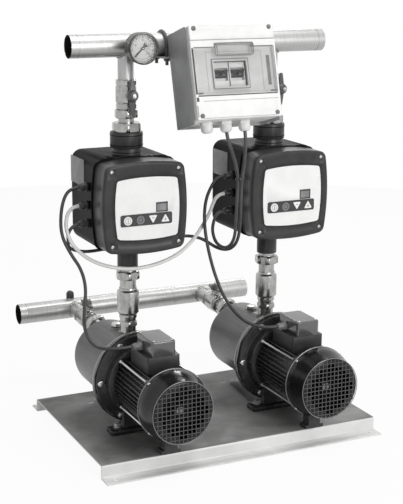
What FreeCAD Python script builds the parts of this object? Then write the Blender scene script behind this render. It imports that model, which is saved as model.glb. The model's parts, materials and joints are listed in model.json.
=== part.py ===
"""Twin booster pump set: two horizontal motor pumps with inline speed controllers between two manifolds.

Millimetres. X runs to the right along the manifolds, Y to the rear, Z up. The origin is the middle of the
base plate's footprint, on the floor.
"""
import FreeCAD
import Part
import math
import os

# Base plate
PLATE_LENGTH = 652.0
PLATE_DEPTH = 426.0
PLATE_HEIGHT = 30.3
PLATE_SHEET = 3.0
PLATE_LIP = 34.0
PLATE_BEND_R = 2.5
PLATE_HOLE_R = 4.5
PLATE_HOLE_INSET = 25.0
SLOT_OFFSET = 48.0
SLOT_Y = 138.0
SLOT_LENGTH = 16.0
SLOT_R = 4.0

# Pipes
MANIFOLD_R = 24.15
MANIFOLD_BORE_R = 21.9
RISER_R = 16.85
RISER_BORE_R = 13.5
DISCHARGE_Y = 20.0
DISCHARGE_Z = 854.0
DISCHARGE_LEFT = -298.0
DISCHARGE_RIGHT = 298.5
SUCTION_Y = 388.6
SUCTION_Z = 185.8
SUCTION_LEFT = -311.0
SUCTION_RIGHT = 302.8
BOSS_X = -178.0
BOSS_R = 8.0
BOSS_RISE = 10.0
BOSS_CAP_R = 9.5
BOSS_BORE_R = 5.0
BOSS_CAP_HEIGHT = 18.0
BOSS_CAP_SKIRT = 10.0
BOSS_CAP_LIFT = 3.0
END_STRETCH = 16.0
END_LINE = 1.5
END_LINE_DEPTH = 0.5

# Pump
PUMP_SPACING = 343.0
AXIS_Z = 140.8
BARREL_R = 79.0
BARREL_WALL = 3.0
BARREL_FRONT = -26.0
BARREL_REAR = 178.0
BARREL_ROUNDING = 28.0
FLANGE_R = 98.0
FLANGE_THICKNESS = 3.0
PORT_R = 21.5
PORT_RISE = 9.0
RING_R = 103.0
RING_LIP = 7.0
RING_SHEET = 2.0
PLUG_Y = 90.0
PLUG_AF = 22.0
PLUG_HEAD = 8.0
PLUG_SHANK_R = 8.0
PLUG_BOSS_R = 14.0
STAGES = 4
STAGE_PITCH = 27.0
STAGE_START = 38.0
IMPELLER_R = 60.0
IMPELLER_EYE_R = 22.0
HUB_R = 14.0
RUNNING_CLEARANCE = 0.05
SEAT_CLEARANCE = 0.3

# Adapter between pump and motor
ADAPTER_FLANGE = 12.0
ADAPTER_LENGTH = 33.0
ADAPTER_BELL_R = 80.0
ADAPTER_MOTOR_R = 77.0
ADAPTER_WALL = 7.0
FLANGE_BOLTS = 6
FLANGE_BOLT_CIRCLE_R = 90.0
FLANGE_BOLT_AF = 13.0
FLANGE_BOLT_HEAD = 6.0
FOOT_HALF_WIDTH = 78.0
FOOT_PAD = 10.0
FOOT_PAD_LENGTH = 38.0
FOOT_BOLT_X = 56.0
FOOT_BOLT_R = 4.0
FOOT_BOLT_AF = 13.0
FOOT_BOLT_HEAD = 6.0
FOOT_BOLT_NUT = 6.5
FOOT_WASHER_R = 8.5
FOOT_WASHER = 1.6
FOOT_LEG_X = 32.0
FOOT_LEG_WIDTH = 13.0

# Motor
SHAFT_R = 9.5
FRAME_END = -216.0
FRAME_R = 59.0
FRAME_BORE_R = 53.0
FIN_R = 67.5
FIN_THICKNESS = 2.4
FINS = 44
END_FLANGE_R = 73.0
END_FLANGE = 12.0
BEARING_R = 20.0
BEARING_WIDTH = 12.0
SEAL_WIDTH = 9.0
STATOR_BORE_R = 35.0
AIR_GAP = 0.5
STATOR_REAR = -84.0
STATOR_FRONT = -188.0
TIE_ROD_CIRCLE_R = 72.5
TIE_ROD_R = 2.5
TIE_ROD_NUT_AF = 8.0
MOTOR_FOOT_HALF_WIDTH = 22.0
MOTOR_FOOT_WAIST_HALF_WIDTH = 14.0
MOTOR_FOOT_SETBACK = 2.0
MOTOR_FOOT_LENGTH = 26.0
MOTOR_FOOT_SOLE = 8.0
MOTOR_FOOT_HEAD = 6.0
FAN_R = 58.0
FAN_HUB_R = 15.0
FAN_BLADES = 8
FAN_WIDTH = 22.0
FAN_GAP = 7.0
COVER_R = 76.0
COVER_FRONT_R = 67.5
COVER_FRONT = -275.0
COVER_WALL = 2.5
COVER_ROUNDING = 7.0
GRILLE_R = 58.0
GRILLE_PITCH = 9.4
GRILLE_BAR = 2.2

# Terminal box
TERMINAL_BASE_HALF_WIDTH = 37.0
TERMINAL_BASE_REAR = -82.0
TERMINAL_BASE_FRONT = -177.0
TERMINAL_BASE_TOP = 231.0
TERMINAL_HALF_WIDTH = 27.0
TERMINAL_REAR = -92.0
TERMINAL_FRONT = -178.0
TERMINAL_TOP = 264.0
TERMINAL_ROUNDING = 7.0
TERMINAL_GLAND_Y = -125.0
TERMINAL_GLAND_Z = 243.0

# Riser stack, heights of the joints between the pieces
NIPPLE_TOP = 243.0
LOWER_HEX_TOP = 257.0
CHECK_TOP = 331.0
NECK_TOP = 350.0
LOWER_UNION_TOP = 369.0
CONTROLLER_NECK_BOTTOM = 376.0
COLLAR_TOP = 674.0
RING_NUT_TOP = 693.0
UPPER_UNION_BOTTOM = 702.0
UPPER_UNION_TOP = 721.0
LOWER_HEX_AF = 36.0
LOWER_UNION_AF = 48.0
UPPER_UNION_AF = 46.0
RING_NUT_AF = 57.0
CHECK_R = 24.0
CHECK_END_R = 19.5
CHECK_SEAT_R = 11.5
CHECK_CHAMBER_R = 19.5
POPPET_R = 15.0
POPPET_STEM_R = 3.0
POPPET_TRAVEL = 8.0

# Ball valves
VALVE_HALF_LENGTH = 31.0
VALVE_BODY_R = 22.0
VALVE_HEX_AF = 41.0
VALVE_HEX_LENGTH = 12.0
VALVE_SOCKET = 10.0
BALL_R = 18.0
BALL_BORE_R = 12.5
STEM_R = 5.0
STEM_BOSS_R = 9.0
STEM_BOSS_TOP = 33.0
HANDLE_HALF_LENGTH = 35.0
HANDLE_WIDTH = 14.0
HANDLE_TIP_WIDTH = 6.0
HANDLE_THICKNESS = 5.0
HANDLE_HUB_R = 12.0
HANDLE_HUB_TOP = 46.0
HANDLE_RISE = 1.0
RIGHT_VALVE_TURN = 15.0
SUCTION_VALVE_Y = 286.0
SUCTION_UNION_START = 208.0
SUCTION_UNION_LENGTH = 32.0

# Controllers
CONTROLLER_Z = 527.0
CONTROLLER_FRONT = -86.5
CONTROLLER_PARTING = -26.0
CONTROLLER_REAR = 142.0
BODY_HALF_WIDTH = 88.0
BODY_HALF_HEIGHT = 99.0
BODY_ROUNDING = 24.0
BODY_REAR_ROUNDING = 22.0
BODY_LIP = 3.0
COVER_MID_HALF_WIDTH = 95.0
COVER_CORNER_HALF_WIDTH = 87.0
COVER_MID_HALF_HEIGHT = 98.0
COVER_CORNER_HALF_HEIGHT = 90.0
COVER_CORNER_R = 17.0
COVER_EDGE_R = 6.0
NECK_R = 22.5
NECK_FLARE_R = 26.0
COLLAR_R = 35.0
COLLAR_STEP_R = 31.0
COLLAR_STEP_TOP = 640.0
SCREW_X = 74.5
SCREW_Z = 78.4
SCREW_R = 4.0
LABEL_SHIFT_X = 3.0
LABEL_SHIFT_Z = -0.6
LABEL_MID_HALF_WIDTH = 72.0
LABEL_CORNER_HALF_WIDTH = 67.0
LABEL_MID_HALF_HEIGHT = 66.0
LABEL_CORNER_HALF_HEIGHT = 61.0
LABEL_CORNER_R = 7.0
LABEL_THICKNESS = 3.0
LABEL_PROUD = 1.5
STRIP_HALF_WIDTH = 58.0
STRIP_HALF_HEIGHT = 12.4
STRIP_Z = -23.5
STRIP_PROUD = 0.8
KEY_SPACING = 28.0
KEY_R = 9.0
KEY_TRIANGLE_R = 11.0
KEY_GAP = 0.4
KEY_PROUD = 1.8
KEY_TRAVEL = 1.5
KEY_SKIRT = 2.0
KEY_SKIRT_MARGIN = 1.5
DISPLAY_X = 35.0
DISPLAY_Z = 0.5
DISPLAY_HALF_WIDTH = 12.5
DISPLAY_HALF_HEIGHT = 9.5
DISPLAY_RECESS = 0.8
GLAND_SPACING = 39.5
GLAND_MIDDLE_Z = 521.0

# Cable glands: hex, dome and tip
GLAND_AF = 18.0
GLAND_HEX = 7.0
GLAND_DOME_R = 8.0
GLAND_DOME = 15.0
GLAND_TIP_R = 6.0

# Gauge
GAUGE_X = -162.0
GAUGE_Z = 852.0
GAUGE_CASE_R = 31.5
GAUGE_BEZEL_R = 33.0
GAUGE_FRONT = -60.0
GAUGE_CASE_DEPTH = 34.0
GAUGE_BEZEL = 9.0
GAUGE_WALL = 2.0
GAUGE_HEX_AF = 16.0
GAUGE_SOCKET_R = 9.0
GAUGE_SOCKET_END = -13.0
GAUGE_PORT_R = 4.0
GAUGE_DIAL_DEPTH = 10.0
GAUGE_DIAL = 1.0
GAUGE_GLASS = 2.0
NEEDLE_LENGTH = 24.0
NEEDLE_TAIL = 11.0
NEEDLE_ZERO = 225.0

# Supply panel
PANEL_X = 9.0
PANEL_TILT = 15.0
PANEL_BOTTOM_Y = -161.5
PANEL_BOTTOM_Z = 714.0
PANEL_WIDTH = 194.0
PANEL_HEIGHT = 193.0
PANEL_DEPTH = 100.0
PANEL_WALL = 3.0
PANEL_COVER = 15.0
PANEL_ROUNDING = 4.0
BAND_LINE_Z = 161.4
PANEL_SCREW_INSET = 11.0
PANEL_SCREW_BOTTOM = 8.3
PANEL_SCREW_TOP = 6.8
WINDOW_HALF_WIDTH = 90.0
WINDOW_BOTTOM = 50.7
WINDOW_TOP = 145.7
WINDOW_SHEET = 3.0
WINDOW_GAP = 0.5
WINDOW_POCKET = 9.0
WINDOW_RIM = 4.0
WINDOW_PIN_R = 1.5
WINDOW_PIN_INSET = 4.0
GRIP_HALF_WIDTH = 44.0
GRIP_TOP = 155.2
GRIP_BOTTOM = 128.2
GRIP_PROUD = 5.0
BREAKER_X = 18.75
BREAKER_HALF_WIDTH = 17.5
BREAKER_Z = 93.0
BREAKER_HALF_HEIGHT = 40.0
BREAKER_SHOULDER = 25.0
BREAKER_SHOULDER_Y = 21.0
BREAKER_CENTRE_X = -9.0
TOGGLE_R = 6.0
TOGGLE_LENGTH = 15.0
TOGGLE_THICKNESS = 3.5
TOGGLE_HALF_WIDTH = 15.0
TOGGLE_REST = 35.0
TOGGLE_NOTCH_HALF_WIDTH = 4.5
TOGGLE_BRIDGE = 4.5
TOGGLE_CORE_R = 3.2
PANEL_GLAND_X = (-59.0, -15.0, 28.0)
PANEL_GLAND_AF = 22.0
PANEL_GLAND_DOME_R = 9.5
BRACKET_SHEET = 2.5
BRACKET_SHELF_WIDTH = 36.0
U_BOLT_OFFSET = 98.0
U_BOLT_R = 3.5
U_BOLT_LEG_BOTTOM = 812.0
U_BOLT_NUT_AF = 13.0
U_BOLT_NUT = 7.0

# Cables
LEAD_R = 3.6
SIGNAL_R = 4.0
LEAD_BEND_RUN = 14.0
SIGNAL_BEND_RUN = 15.0
CORD_ARC_SHARE = 0.45
TIE_X = (32.0, 41.85)
TIE_Y = -104.4
TIE_Z = 576.0
TIE_HEIGHT = 4.0
TIE_GAP = 0.8
TIE_THICKNESS = 1.2

PUMP_X = {"left": -PUMP_SPACING / 2, "right": PUMP_SPACING / 2}
UP = FreeCAD.Vector(0, 0, 1)
RIGHT = FreeCAD.Vector(1, 0, 0)
REAR = FreeCAD.Vector(0, 1, 0)
FRONT = FreeCAD.Vector(0, -1, 0)
LEFT = FreeCAD.Vector(-1, 0, 0)
DOWN = FreeCAD.Vector(0, 0, -1)


def vec(x, y, z):
    return FreeCAD.Vector(x, y, z)


def box(x, y, z):
    """A box from three (low, high) pairs."""
    size = [high - low for low, high in (x, y, z)]
    return Part.makeBox(size[0], size[1], size[2], vec(x[0], y[0], z[0]))


def rod(radius, start, direction, length):
    return Part.makeCylinder(radius, length, start, direction)


def tube(radius, bore, start, direction, length):
    return rod(radius, start, direction, length).cut(rod(bore, start, direction, length))


def placed(shape, origin, direction, spin=0.0):
    """Take a shape built along +Z to an origin and direction."""
    turn = FreeCAD.Rotation(UP, direction).multiply(FreeCAD.Rotation(UP, spin))
    moved = shape.copy()
    moved.Placement = FreeCAD.Placement(origin, turn)
    return moved


def prism(points, height):
    """Extrude a closed outline in the XY plane up by height."""
    corners = [vec(x, y, 0) for x, y in points]
    return Part.Face(Part.makePolygon(corners + corners[:1])).extrude(vec(0, 0, height))


def hexagon(across_flats, start, direction, length, chamfer=1.5, spin=0.0):
    """A hexagonal bar with its corners turned down at both ends, as on a nut."""
    radius = across_flats / math.sqrt(3)
    corners = [arc_point((0, 0), radius, 60 * i) for i in range(6)]
    bar = prism(corners, length)
    drop = min(chamfer, length / 3)
    turned = turning([(0, 0), (radius - 1.7 * drop, 0), (radius, drop), (radius, length - drop),
                      (radius - 1.7 * drop, length), (0, length)])
    return placed(bar.common(turned), start, direction, spin)


def turning(points):
    """Revolve a closed profile of (radius, height) points about Z.

    An entry of four values is an arc: its middle point, then its end.
    """
    edges = []
    last = points[0]
    for entry in points[1:] + points[:1]:
        start = vec(last[0], 0, last[1])
        end = vec(entry[-2], 0, entry[-1])
        if len(entry) == 4:
            edges.append(Part.Arc(start, vec(entry[0], 0, entry[1]), end).toShape())
        elif start.distanceToPoint(end) > 1e-6:
            edges.append(Part.LineSegment(start, end).toShape())
        last = entry[-2:]
    return Part.Face(Part.Wire(edges)).revolve(vec(0, 0, 0), UP, 360)


def arc_point(centre, radius, degrees):
    """A (radius, height) point of a profile on a circle."""
    angle = math.radians(degrees)
    return (centre[0] + radius * math.cos(angle), centre[1] + radius * math.sin(angle))


def fused(shapes):
    whole = shapes[0]
    if len(shapes) > 1:
        whole = shapes[0].fuse(shapes[1:])
    return whole.removeSplitter()


def edges_along(shape, direction, keep=lambda middle: True):
    """Straight edges parallel to a direction whose middle passes the test."""
    found = []
    for edge in shape.Edges:
        if not isinstance(edge.Curve, Part.Line):
            continue
        run = edge.Vertexes[-1].Point.sub(edge.Vertexes[0].Point).normalize()
        if abs(abs(run.dot(direction)) - 1) < 1e-6 and keep(edge.CenterOfMass):
            found.append(edge)
    return found


def edges_at(shape, axis, value):
    """Edges whose whole length lies at one value of the x, y or z coordinate."""
    low, high = axis + "Min", axis + "Max"
    return [e for e in shape.Edges
            if abs(getattr(e.BoundBox, low) - value) < 1e-4 and abs(getattr(e.BoundBox, high) - value) < 1e-4]


def pillow(half_width, half_height, corner_width, corner_height, thickness, corner_r):
    """A plate in the XZ plane with four bowed sides, its front at y = 0 and its body behind."""
    corners = [vec(-corner_width, 0, -corner_height), vec(corner_width, 0, -corner_height),
               vec(corner_width, 0, corner_height), vec(-corner_width, 0, corner_height)]
    middles = [vec(0, 0, -half_height), vec(half_width, 0, 0), vec(0, 0, half_height), vec(-half_width, 0, 0)]
    sides = [Part.Arc(corners[i], middles[i], corners[(i + 1) % 4]).toShape() for i in range(4)]
    plate = Part.Face(Part.Wire(sides)).extrude(vec(0, thickness, 0))
    return plate.makeFillet(corner_r, edges_along(plate, REAR))


def cord(points, radius):
    """A cable: straight runs joined by tangent arcs, swept by a round section."""
    points = [vec(*p) for p in points]
    edges = []
    reached = points[0]
    radii = []
    for before, corner, after in zip(points, points[1:], points[2:]):
        back = before.sub(corner)
        ahead = after.sub(corner)
        half_turn = (math.pi - back.getAngle(ahead)) / 2
        setback = CORD_ARC_SHARE * min(back.Length, ahead.Length)
        arc_radius = setback / math.tan(half_turn)
        radii.append(arc_radius)
        back.normalize()
        ahead.normalize()
        start = corner.add(back * setback)
        end = corner.add(ahead * setback)
        inward = back.add(ahead).normalize()
        bulge = corner.add(inward * (arc_radius / math.cos(half_turn) - arc_radius))
        edges.append(Part.LineSegment(reached, start).toShape())
        edges.append(Part.Arc(start, bulge, end).toShape())
        reached = end
    edges.append(Part.LineSegment(reached, points[-1]).toShape())
    path = Part.Wire(edges)
    length = path.Length
    first_run = points[1].sub(points[0])
    section = Part.Wire(Part.Circle(points[0], first_run, radius).toShape())
    sweep = path.makePipeShell([section], True, False)
    ideal = math.pi * radius ** 2 * length
    print("  cord length %.0f, smallest radius %.1f, volume %.4f of ideal"
          % (length, min(radii), sweep.Volume / ideal))
    return sweep


def base_plate():
    """A hat section with an outward lip at the front and the rear, open at both ends."""
    half, top, sheet, lip = PLATE_DEPTH / 2, PLATE_HEIGHT, PLATE_SHEET, PLATE_LIP
    right_half = [(half - sheet, 0), (half + lip, 0), (half + lip, sheet), (half, sheet), (half, top)]
    inner_half = [(half - sheet, top - sheet), (half - sheet, 0)]
    left_half = [(-y, z) for y, z in reversed(right_half)]
    outline = right_half + left_half + [(-y, z) for y, z in reversed(inner_half)] + inner_half[:1]
    corners = [vec(-PLATE_LENGTH / 2, y, z) for y, z in outline]
    plate = Part.Face(Part.makePolygon(corners + corners[:1])).extrude(vec(PLATE_LENGTH, 0, 0))
    outer = edges_along(plate, RIGHT, lambda m: abs(m.z - top) < 1e-6)
    plate = plate.makeFillet(PLATE_BEND_R + sheet, outer)
    inner = edges_along(plate, RIGHT, lambda m: abs(m.z - top + sheet) < 1e-6)
    plate = plate.makeFillet(PLATE_BEND_R, inner)
    root = edges_along(plate, RIGHT, lambda m: abs(m.z - sheet) < 1e-6 and abs(abs(m.y) - half) < 1e-6)
    plate = plate.makeFillet(PLATE_BEND_R, root)
    cuts = []
    for x in (-1, 1):
        for y in (-1, 1):
            centre = vec(x * (PLATE_LENGTH / 2 - PLATE_HOLE_INSET), y * (half + lip / 2), 0)
            cuts.append(rod(PLATE_HOLE_R, centre, UP, sheet))
    for x0 in PUMP_X.values():
        for side in (-1, 1):
            cuts.append(slot(x0 + side * SLOT_OFFSET, SLOT_Y))
            bolt = vec(x0 + side * FOOT_BOLT_X, foot_bolt_y(), top - sheet)
            cuts.append(rod(FOOT_BOLT_R, bolt, UP, sheet))
    return plate.cut(cuts)


def slot(x, y):
    """The cutter for one round-ended slot in the plate's top, long in X."""
    reach = SLOT_LENGTH / 2 - SLOT_R
    low = PLATE_HEIGHT - PLATE_SHEET
    ends = [rod(SLOT_R, vec(x + s * reach, y, low), UP, PLATE_SHEET) for s in (-1, 1)]
    return fused(ends + [box((x - reach, x + reach), (y - SLOT_R, y + SLOT_R), (low, PLATE_HEIGHT))])


def foot_bolt_y():
    return adapter_front() + FOOT_PAD_LENGTH / 2 - 8


def adapter_rear():
    """The face of the adapter that the barrel's flange seats on."""
    return BARREL_FRONT - FLANGE_THICKNESS


def adapter_front():
    """The face of the adapter that the motor frame seats on."""
    return adapter_rear() - ADAPTER_LENGTH


def at_axis(x0, y, radius=0.0, degrees=0.0):
    """A point on or around a pump's axis."""
    angle = math.radians(degrees)
    return vec(x0 + radius * math.cos(angle), y, AXIS_Z + radius * math.sin(angle))


def pump_barrel(x0):
    """A deep-drawn shell with a rounded rear end, a flange, two ports and a priming boss."""
    wall, rear = BARREL_WALL, BARREL_REAR
    outer_centre = (BARREL_R - BARREL_ROUNDING, rear - BARREL_ROUNDING)
    inner_r = BARREL_ROUNDING - wall
    outer_mid = arc_point(outer_centre, BARREL_ROUNDING, 45)
    inner_mid = arc_point(outer_centre, inner_r, 45)
    front = adapter_rear()
    shell = turning([
        (BARREL_R - wall, front), (FLANGE_R, front), (FLANGE_R, BARREL_FRONT), (BARREL_R, BARREL_FRONT),
        (BARREL_R, outer_centre[1]), outer_mid + (outer_centre[0], rear), (0, rear), (0, rear - wall),
        (outer_centre[0], rear - wall), inner_mid + (BARREL_R - wall, outer_centre[1])])
    shell = placed(shell, vec(x0, 0, AXIS_Z), REAR)
    top = AXIS_Z + BARREL_R
    discharge = rod(PORT_R, vec(x0, DISCHARGE_Y, top - 12), UP, 12 + PORT_RISE)
    suction = rod(PORT_R, vec(x0, rear - 14, SUCTION_Z), REAR, 14 + PORT_RISE)
    priming = rod(PLUG_BOSS_R, vec(x0, PLUG_Y, top - 8), UP, 8 + 2)
    inside = rod(BARREL_R - wall, vec(x0, front, AXIS_Z), REAR, outer_centre[1] - front)
    rounded = placed(turning([(0, outer_centre[1]), (BARREL_R - wall, outer_centre[1]),
                              arc_point(outer_centre, inner_r, 45) + (outer_centre[0], rear - wall),
                              (0, rear - wall)]), vec(x0, 0, AXIS_Z), REAR)
    ports = fused([discharge, suction, priming]).cut([inside, rounded])
    barrel = fused([shell, ports])
    return barrel.cut([rod(RISER_R, vec(x0, DISCHARGE_Y, top - 2), UP, 30),
                       rod(RISER_BORE_R, vec(x0, DISCHARGE_Y, AXIS_Z + 40), UP, 60),
                       rod(RISER_R, vec(x0, rear - 2, SUCTION_Z), REAR, 30),
                       rod(RISER_BORE_R, vec(x0, rear - 20, SUCTION_Z), REAR, 40),
                       rod(PLUG_SHANK_R, vec(x0, PLUG_Y, AXIS_Z + 40), UP, 60)])


def casing_ring(x0):
    """The channel-shaped clamp ring that grips the barrel flange against the adapter."""
    front = adapter_rear() - RING_LIP / 2
    rear = BARREL_FRONT + RING_SHEET
    ring = turning([(FLANGE_R, front), (RING_R, front), (RING_R, rear), (FLANGE_R - RING_LIP, rear),
                    (FLANGE_R - RING_LIP, BARREL_FRONT), (FLANGE_R, BARREL_FRONT)])
    return placed(ring, vec(x0, 0, AXIS_Z), REAR)


def diffusers(x0):
    """The stage housings: a ring with a rear wall each, standing in the barrel one behind the other."""
    outer = BARREL_R - BARREL_WALL - SEAT_CLEARANCE
    stages = []
    for i in range(STAGES):
        low = STAGE_START + i * STAGE_PITCH
        high = low + STAGE_PITCH
        cup = turning([(outer - 5, low), (outer, low), (outer, high), (IMPELLER_EYE_R + SEAT_CLEARANCE, high),
                       (IMPELLER_EYE_R + SEAT_CLEARANCE, high - 4), (outer - 5, high - 4)])
        stages.append(placed(cup, vec(x0, 0, AXIS_Z), REAR))
    return stages


def impellers(x0):
    """Closed impellers on the shaft, the eye towards the suction end."""
    wheels = []
    for i in range(STAGES):
        low = STAGE_START + i * STAGE_PITCH + 3
        eye_end = low + STAGE_PITCH - 4
        hub_end = low + STAGE_PITCH - 2
        wheel = turning([(SHAFT_R, low), (IMPELLER_R, low), (IMPELLER_R, low + 10), (IMPELLER_EYE_R, low + 15),
                         (IMPELLER_EYE_R, eye_end), (IMPELLER_EYE_R - 3, eye_end), (IMPELLER_EYE_R - 3, low + 14),
                         (HUB_R, low + 14), (HUB_R, hub_end), (SHAFT_R, hub_end)])
        wheels.append(placed(wheel, vec(x0, 0, AXIS_Z), REAR))
    return wheels


def fan_rear():
    """The rear face of the cooling fan, clear of the motor's end flange."""
    return FRAME_END - END_FLANGE - FAN_GAP


def rotor(x0):
    """The common shaft with the rotor core, from the fan end to the last stage."""
    core_r = STATOR_BORE_R - AIR_GAP
    journal = SHAFT_R - 1.5
    fan_end = fan_rear() - FAN_WIDTH
    pump_end = STAGE_START + STAGES * STAGE_PITCH + 4
    profile = [(0, fan_end), (journal, fan_end), (journal, FRAME_END), (SHAFT_R, FRAME_END),
               (SHAFT_R, STATOR_FRONT), (core_r, STATOR_FRONT), (core_r, STATOR_REAR), (SHAFT_R, STATOR_REAR),
               (SHAFT_R, pump_end), (0, pump_end)]
    return placed(turning(profile), vec(x0, 0, AXIS_Z), REAR)


def cooling_fan(x0):
    """A radial fan: hub, thin back disc and straight blades."""
    rear = fan_rear()
    journal = SHAFT_R - 1.5
    hub = tube(FAN_HUB_R, journal, at_axis(x0, rear), FRONT, FAN_WIDTH)
    disc = tube(FAN_R, journal, at_axis(x0, rear), FRONT, 2.5)
    blades = []
    for i in range(FAN_BLADES):
        blade = box((FAN_HUB_R - 1, FAN_R), (-1.2, 1.2), (0, FAN_WIDTH - 3))
        blades.append(placed(blade, at_axis(x0, rear), FRONT, 360 * i / FAN_BLADES))
    return fused([hub, disc] + blades)


def adapter(x0):
    """The cast piece between barrel and motor: flange, bell, bearing seat and two feet."""
    rear, front = adapter_rear(), adapter_front()
    length, wall = ADAPTER_LENGTH, ADAPTER_WALL
    flange = ADAPTER_FLANGE
    bell = turning([
        (HUB_R, 0), (FLANGE_R, 0), (FLANGE_R, flange), (ADAPTER_BELL_R, flange),
        (ADAPTER_MOTOR_R, length - 8), (ADAPTER_MOTOR_R, length), (BEARING_R, length),
        (BEARING_R, length - BEARING_WIDTH), (HUB_R, length - BEARING_WIDTH)])
    hollow = turning([(BEARING_R + 6, wall), (FRAME_BORE_R - 3, wall), (FRAME_BORE_R - 3, length),
                      (BEARING_R + 6, length)])
    bell = placed(bell.cut(hollow), vec(x0, rear, AXIS_Z), FRONT)
    pad_front = front - 14
    pad_rear = pad_front + FOOT_PAD_LENGTH
    pad_top = PLATE_HEIGHT + FOOT_PAD
    pad = box((x0 - FOOT_HALF_WIDTH, x0 + FOOT_HALF_WIDTH), (pad_front, pad_rear), (PLATE_HEIGHT, pad_top))
    pad = pad.makeFillet(6, edges_along(pad, UP))
    legs = []
    for side in (-1, 1):
        inner, outer = (x0 + side * reach for reach in (FOOT_LEG_X, FOOT_LEG_X + FOOT_LEG_WIDTH))
        legs.append(box(sorted((inner, outer)), (front, front + FOOT_LEG_WIDTH), (pad_top - 1, AXIS_Z - 30)))
    web = box((x0 - FOOT_LEG_X - 1, x0 + FOOT_LEG_X + 1), (front, front + 6), (pad_top - 1, AXIS_Z - 50))
    inside = rod(ADAPTER_MOTOR_R - wall, at_axis(x0, front), REAR, length)
    feet = fused([pad, web] + legs).cut(inside)
    holes = []
    for side in (-1, 1):
        bolt = vec(x0 + side * FOOT_BOLT_X, foot_bolt_y(), PLATE_HEIGHT)
        holes.append(rod(FOOT_BOLT_R, bolt, UP, FOOT_PAD))
    return fused([bell, feet]).cut(holes + tie_rod_bars(x0))


def motor_frame(x0):
    """A finned tube with an end flange that seats the fan cover."""
    rear = adapter_front()
    length = rear - FRAME_END
    shell = tube(FRAME_R, FRAME_BORE_R, at_axis(x0, rear), FRONT, length)
    end = turning([(BEARING_R, 0), (END_FLANGE_R, 0), (END_FLANGE_R, END_FLANGE), (SHAFT_R, END_FLANGE),
                   (SHAFT_R, BEARING_WIDTH - 3), (BEARING_R, BEARING_WIDTH - 3)])
    end = placed(end, at_axis(x0, FRAME_END), FRONT)
    fins = []
    fin = box((FRAME_R - 1, FIN_R), (-FIN_THICKNESS / 2, FIN_THICKNESS / 2), (0, length))
    clear = math.degrees(math.asin(TERMINAL_BASE_HALF_WIDTH / FIN_R))
    foot_clear = math.degrees(math.asin(MOTOR_FOOT_HALF_WIDTH / FIN_R))
    for i in range(FINS):
        angle = 360.0 * (i + 0.5) / FINS
        if abs(angle - 90) < clear + 2 or abs(angle - 270) < foot_clear + 2:
            continue
        fins.append(placed(fin, at_axis(x0, rear), FRONT, angle))
    ears = []
    for angle in tie_rod_angles():
        ear = box((FRAME_R - 1, TIE_ROD_CIRCLE_R + 4), (-5, 5), (length - 9, length))
        ears.append(placed(ear, at_axis(x0, rear), FRONT, angle))
    frame = fused([shell, end] + fins + ears).cut(tie_rod_bars(x0))
    return [frame, motor_foot(x0)]


def motor_foot(x0):
    """The waisted block that carries the motor's far end, saddled under the frame between its fins."""
    half, waist = MOTOR_FOOT_HALF_WIDTH, MOTOR_FOOT_WAIST_HALF_WIDTH
    front = FRAME_END + MOTOR_FOOT_SETBACK
    depth = (front, front + MOTOR_FOOT_LENGTH)
    top = AXIS_Z - FRAME_BORE_R
    sole = box((x0 - half, x0 + half), depth, (PLATE_HEIGHT, PLATE_HEIGHT + MOTOR_FOOT_SOLE))
    stem = box((x0 - waist, x0 + waist), depth, (PLATE_HEIGHT, top))
    head = box((x0 - half, x0 + half), depth, (AXIS_Z - FRAME_R - MOTOR_FOOT_HEAD, top))
    saddle = rod(FRAME_R, at_axis(x0, FRAME_END), REAR, MOTOR_FOOT_SETBACK + MOTOR_FOOT_LENGTH + 1)
    return fused([sole, stem, head]).cut(saddle)


def tie_rod_angles():
    return (45.0, 135.0, 225.0, 315.0)


def tie_rod_bars(x0):
    """The bars of the tie rods, also used as cutters for their holes."""
    rear = adapter_front() + 8
    length = rear - FRAME_END
    starts = [at_axis(x0, rear, TIE_ROD_CIRCLE_R, angle) for angle in tie_rod_angles()]
    return [rod(TIE_ROD_R, start, FRONT, length) for start in starts]


def motor_fasteners(x0):
    """Tie rods with their nuts, and the hexagon bolts round the adapter flange."""
    pieces = []
    for bar, angle in zip(tie_rod_bars(x0), tie_rod_angles()):
        start = at_axis(x0, adapter_front(), TIE_ROD_CIRCLE_R, angle)
        pieces.append(fused([bar, hexagon(TIE_ROD_NUT_AF, start, FRONT, 5, 0.8)]))
    face = adapter_rear() - ADAPTER_FLANGE
    for i in range(FLANGE_BOLTS):
        centre = at_axis(x0, face, FLANGE_BOLT_CIRCLE_R, 60.0 * i)
        pieces.append(hexagon(FLANGE_BOLT_AF, centre, FRONT, FLANGE_BOLT_HEAD, 1.2))
    return pieces


def foot_bolts(x0):
    pieces = []
    for side in (-1, 1):
        low = vec(x0 + side * FOOT_BOLT_X, foot_bolt_y(), PLATE_HEIGHT - PLATE_SHEET)
        top = low.add(vec(0, 0, PLATE_SHEET + FOOT_PAD))
        nut = low.sub(vec(0, 0, FOOT_BOLT_NUT))
        shank = rod(FOOT_BOLT_R, nut, UP, FOOT_BOLT_NUT + PLATE_SHEET + FOOT_PAD)
        washer = rod(FOOT_WASHER_R, top, UP, FOOT_WASHER)
        head = hexagon(FOOT_BOLT_AF, top.add(vec(0, 0, FOOT_WASHER)), UP, FOOT_BOLT_HEAD)
        pieces.append(fused([shank, washer, head]))
        pieces.append(hexagon(FOOT_BOLT_AF, nut, UP, FOOT_BOLT_NUT).cut(rod(FOOT_BOLT_R, nut, UP, FOOT_BOLT_NUT)))
    return pieces


def stator(x0):
    return tube(FRAME_BORE_R - RUNNING_CLEARANCE, STATOR_BORE_R, at_axis(x0, STATOR_REAR), FRONT,
                STATOR_REAR - STATOR_FRONT)


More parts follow.
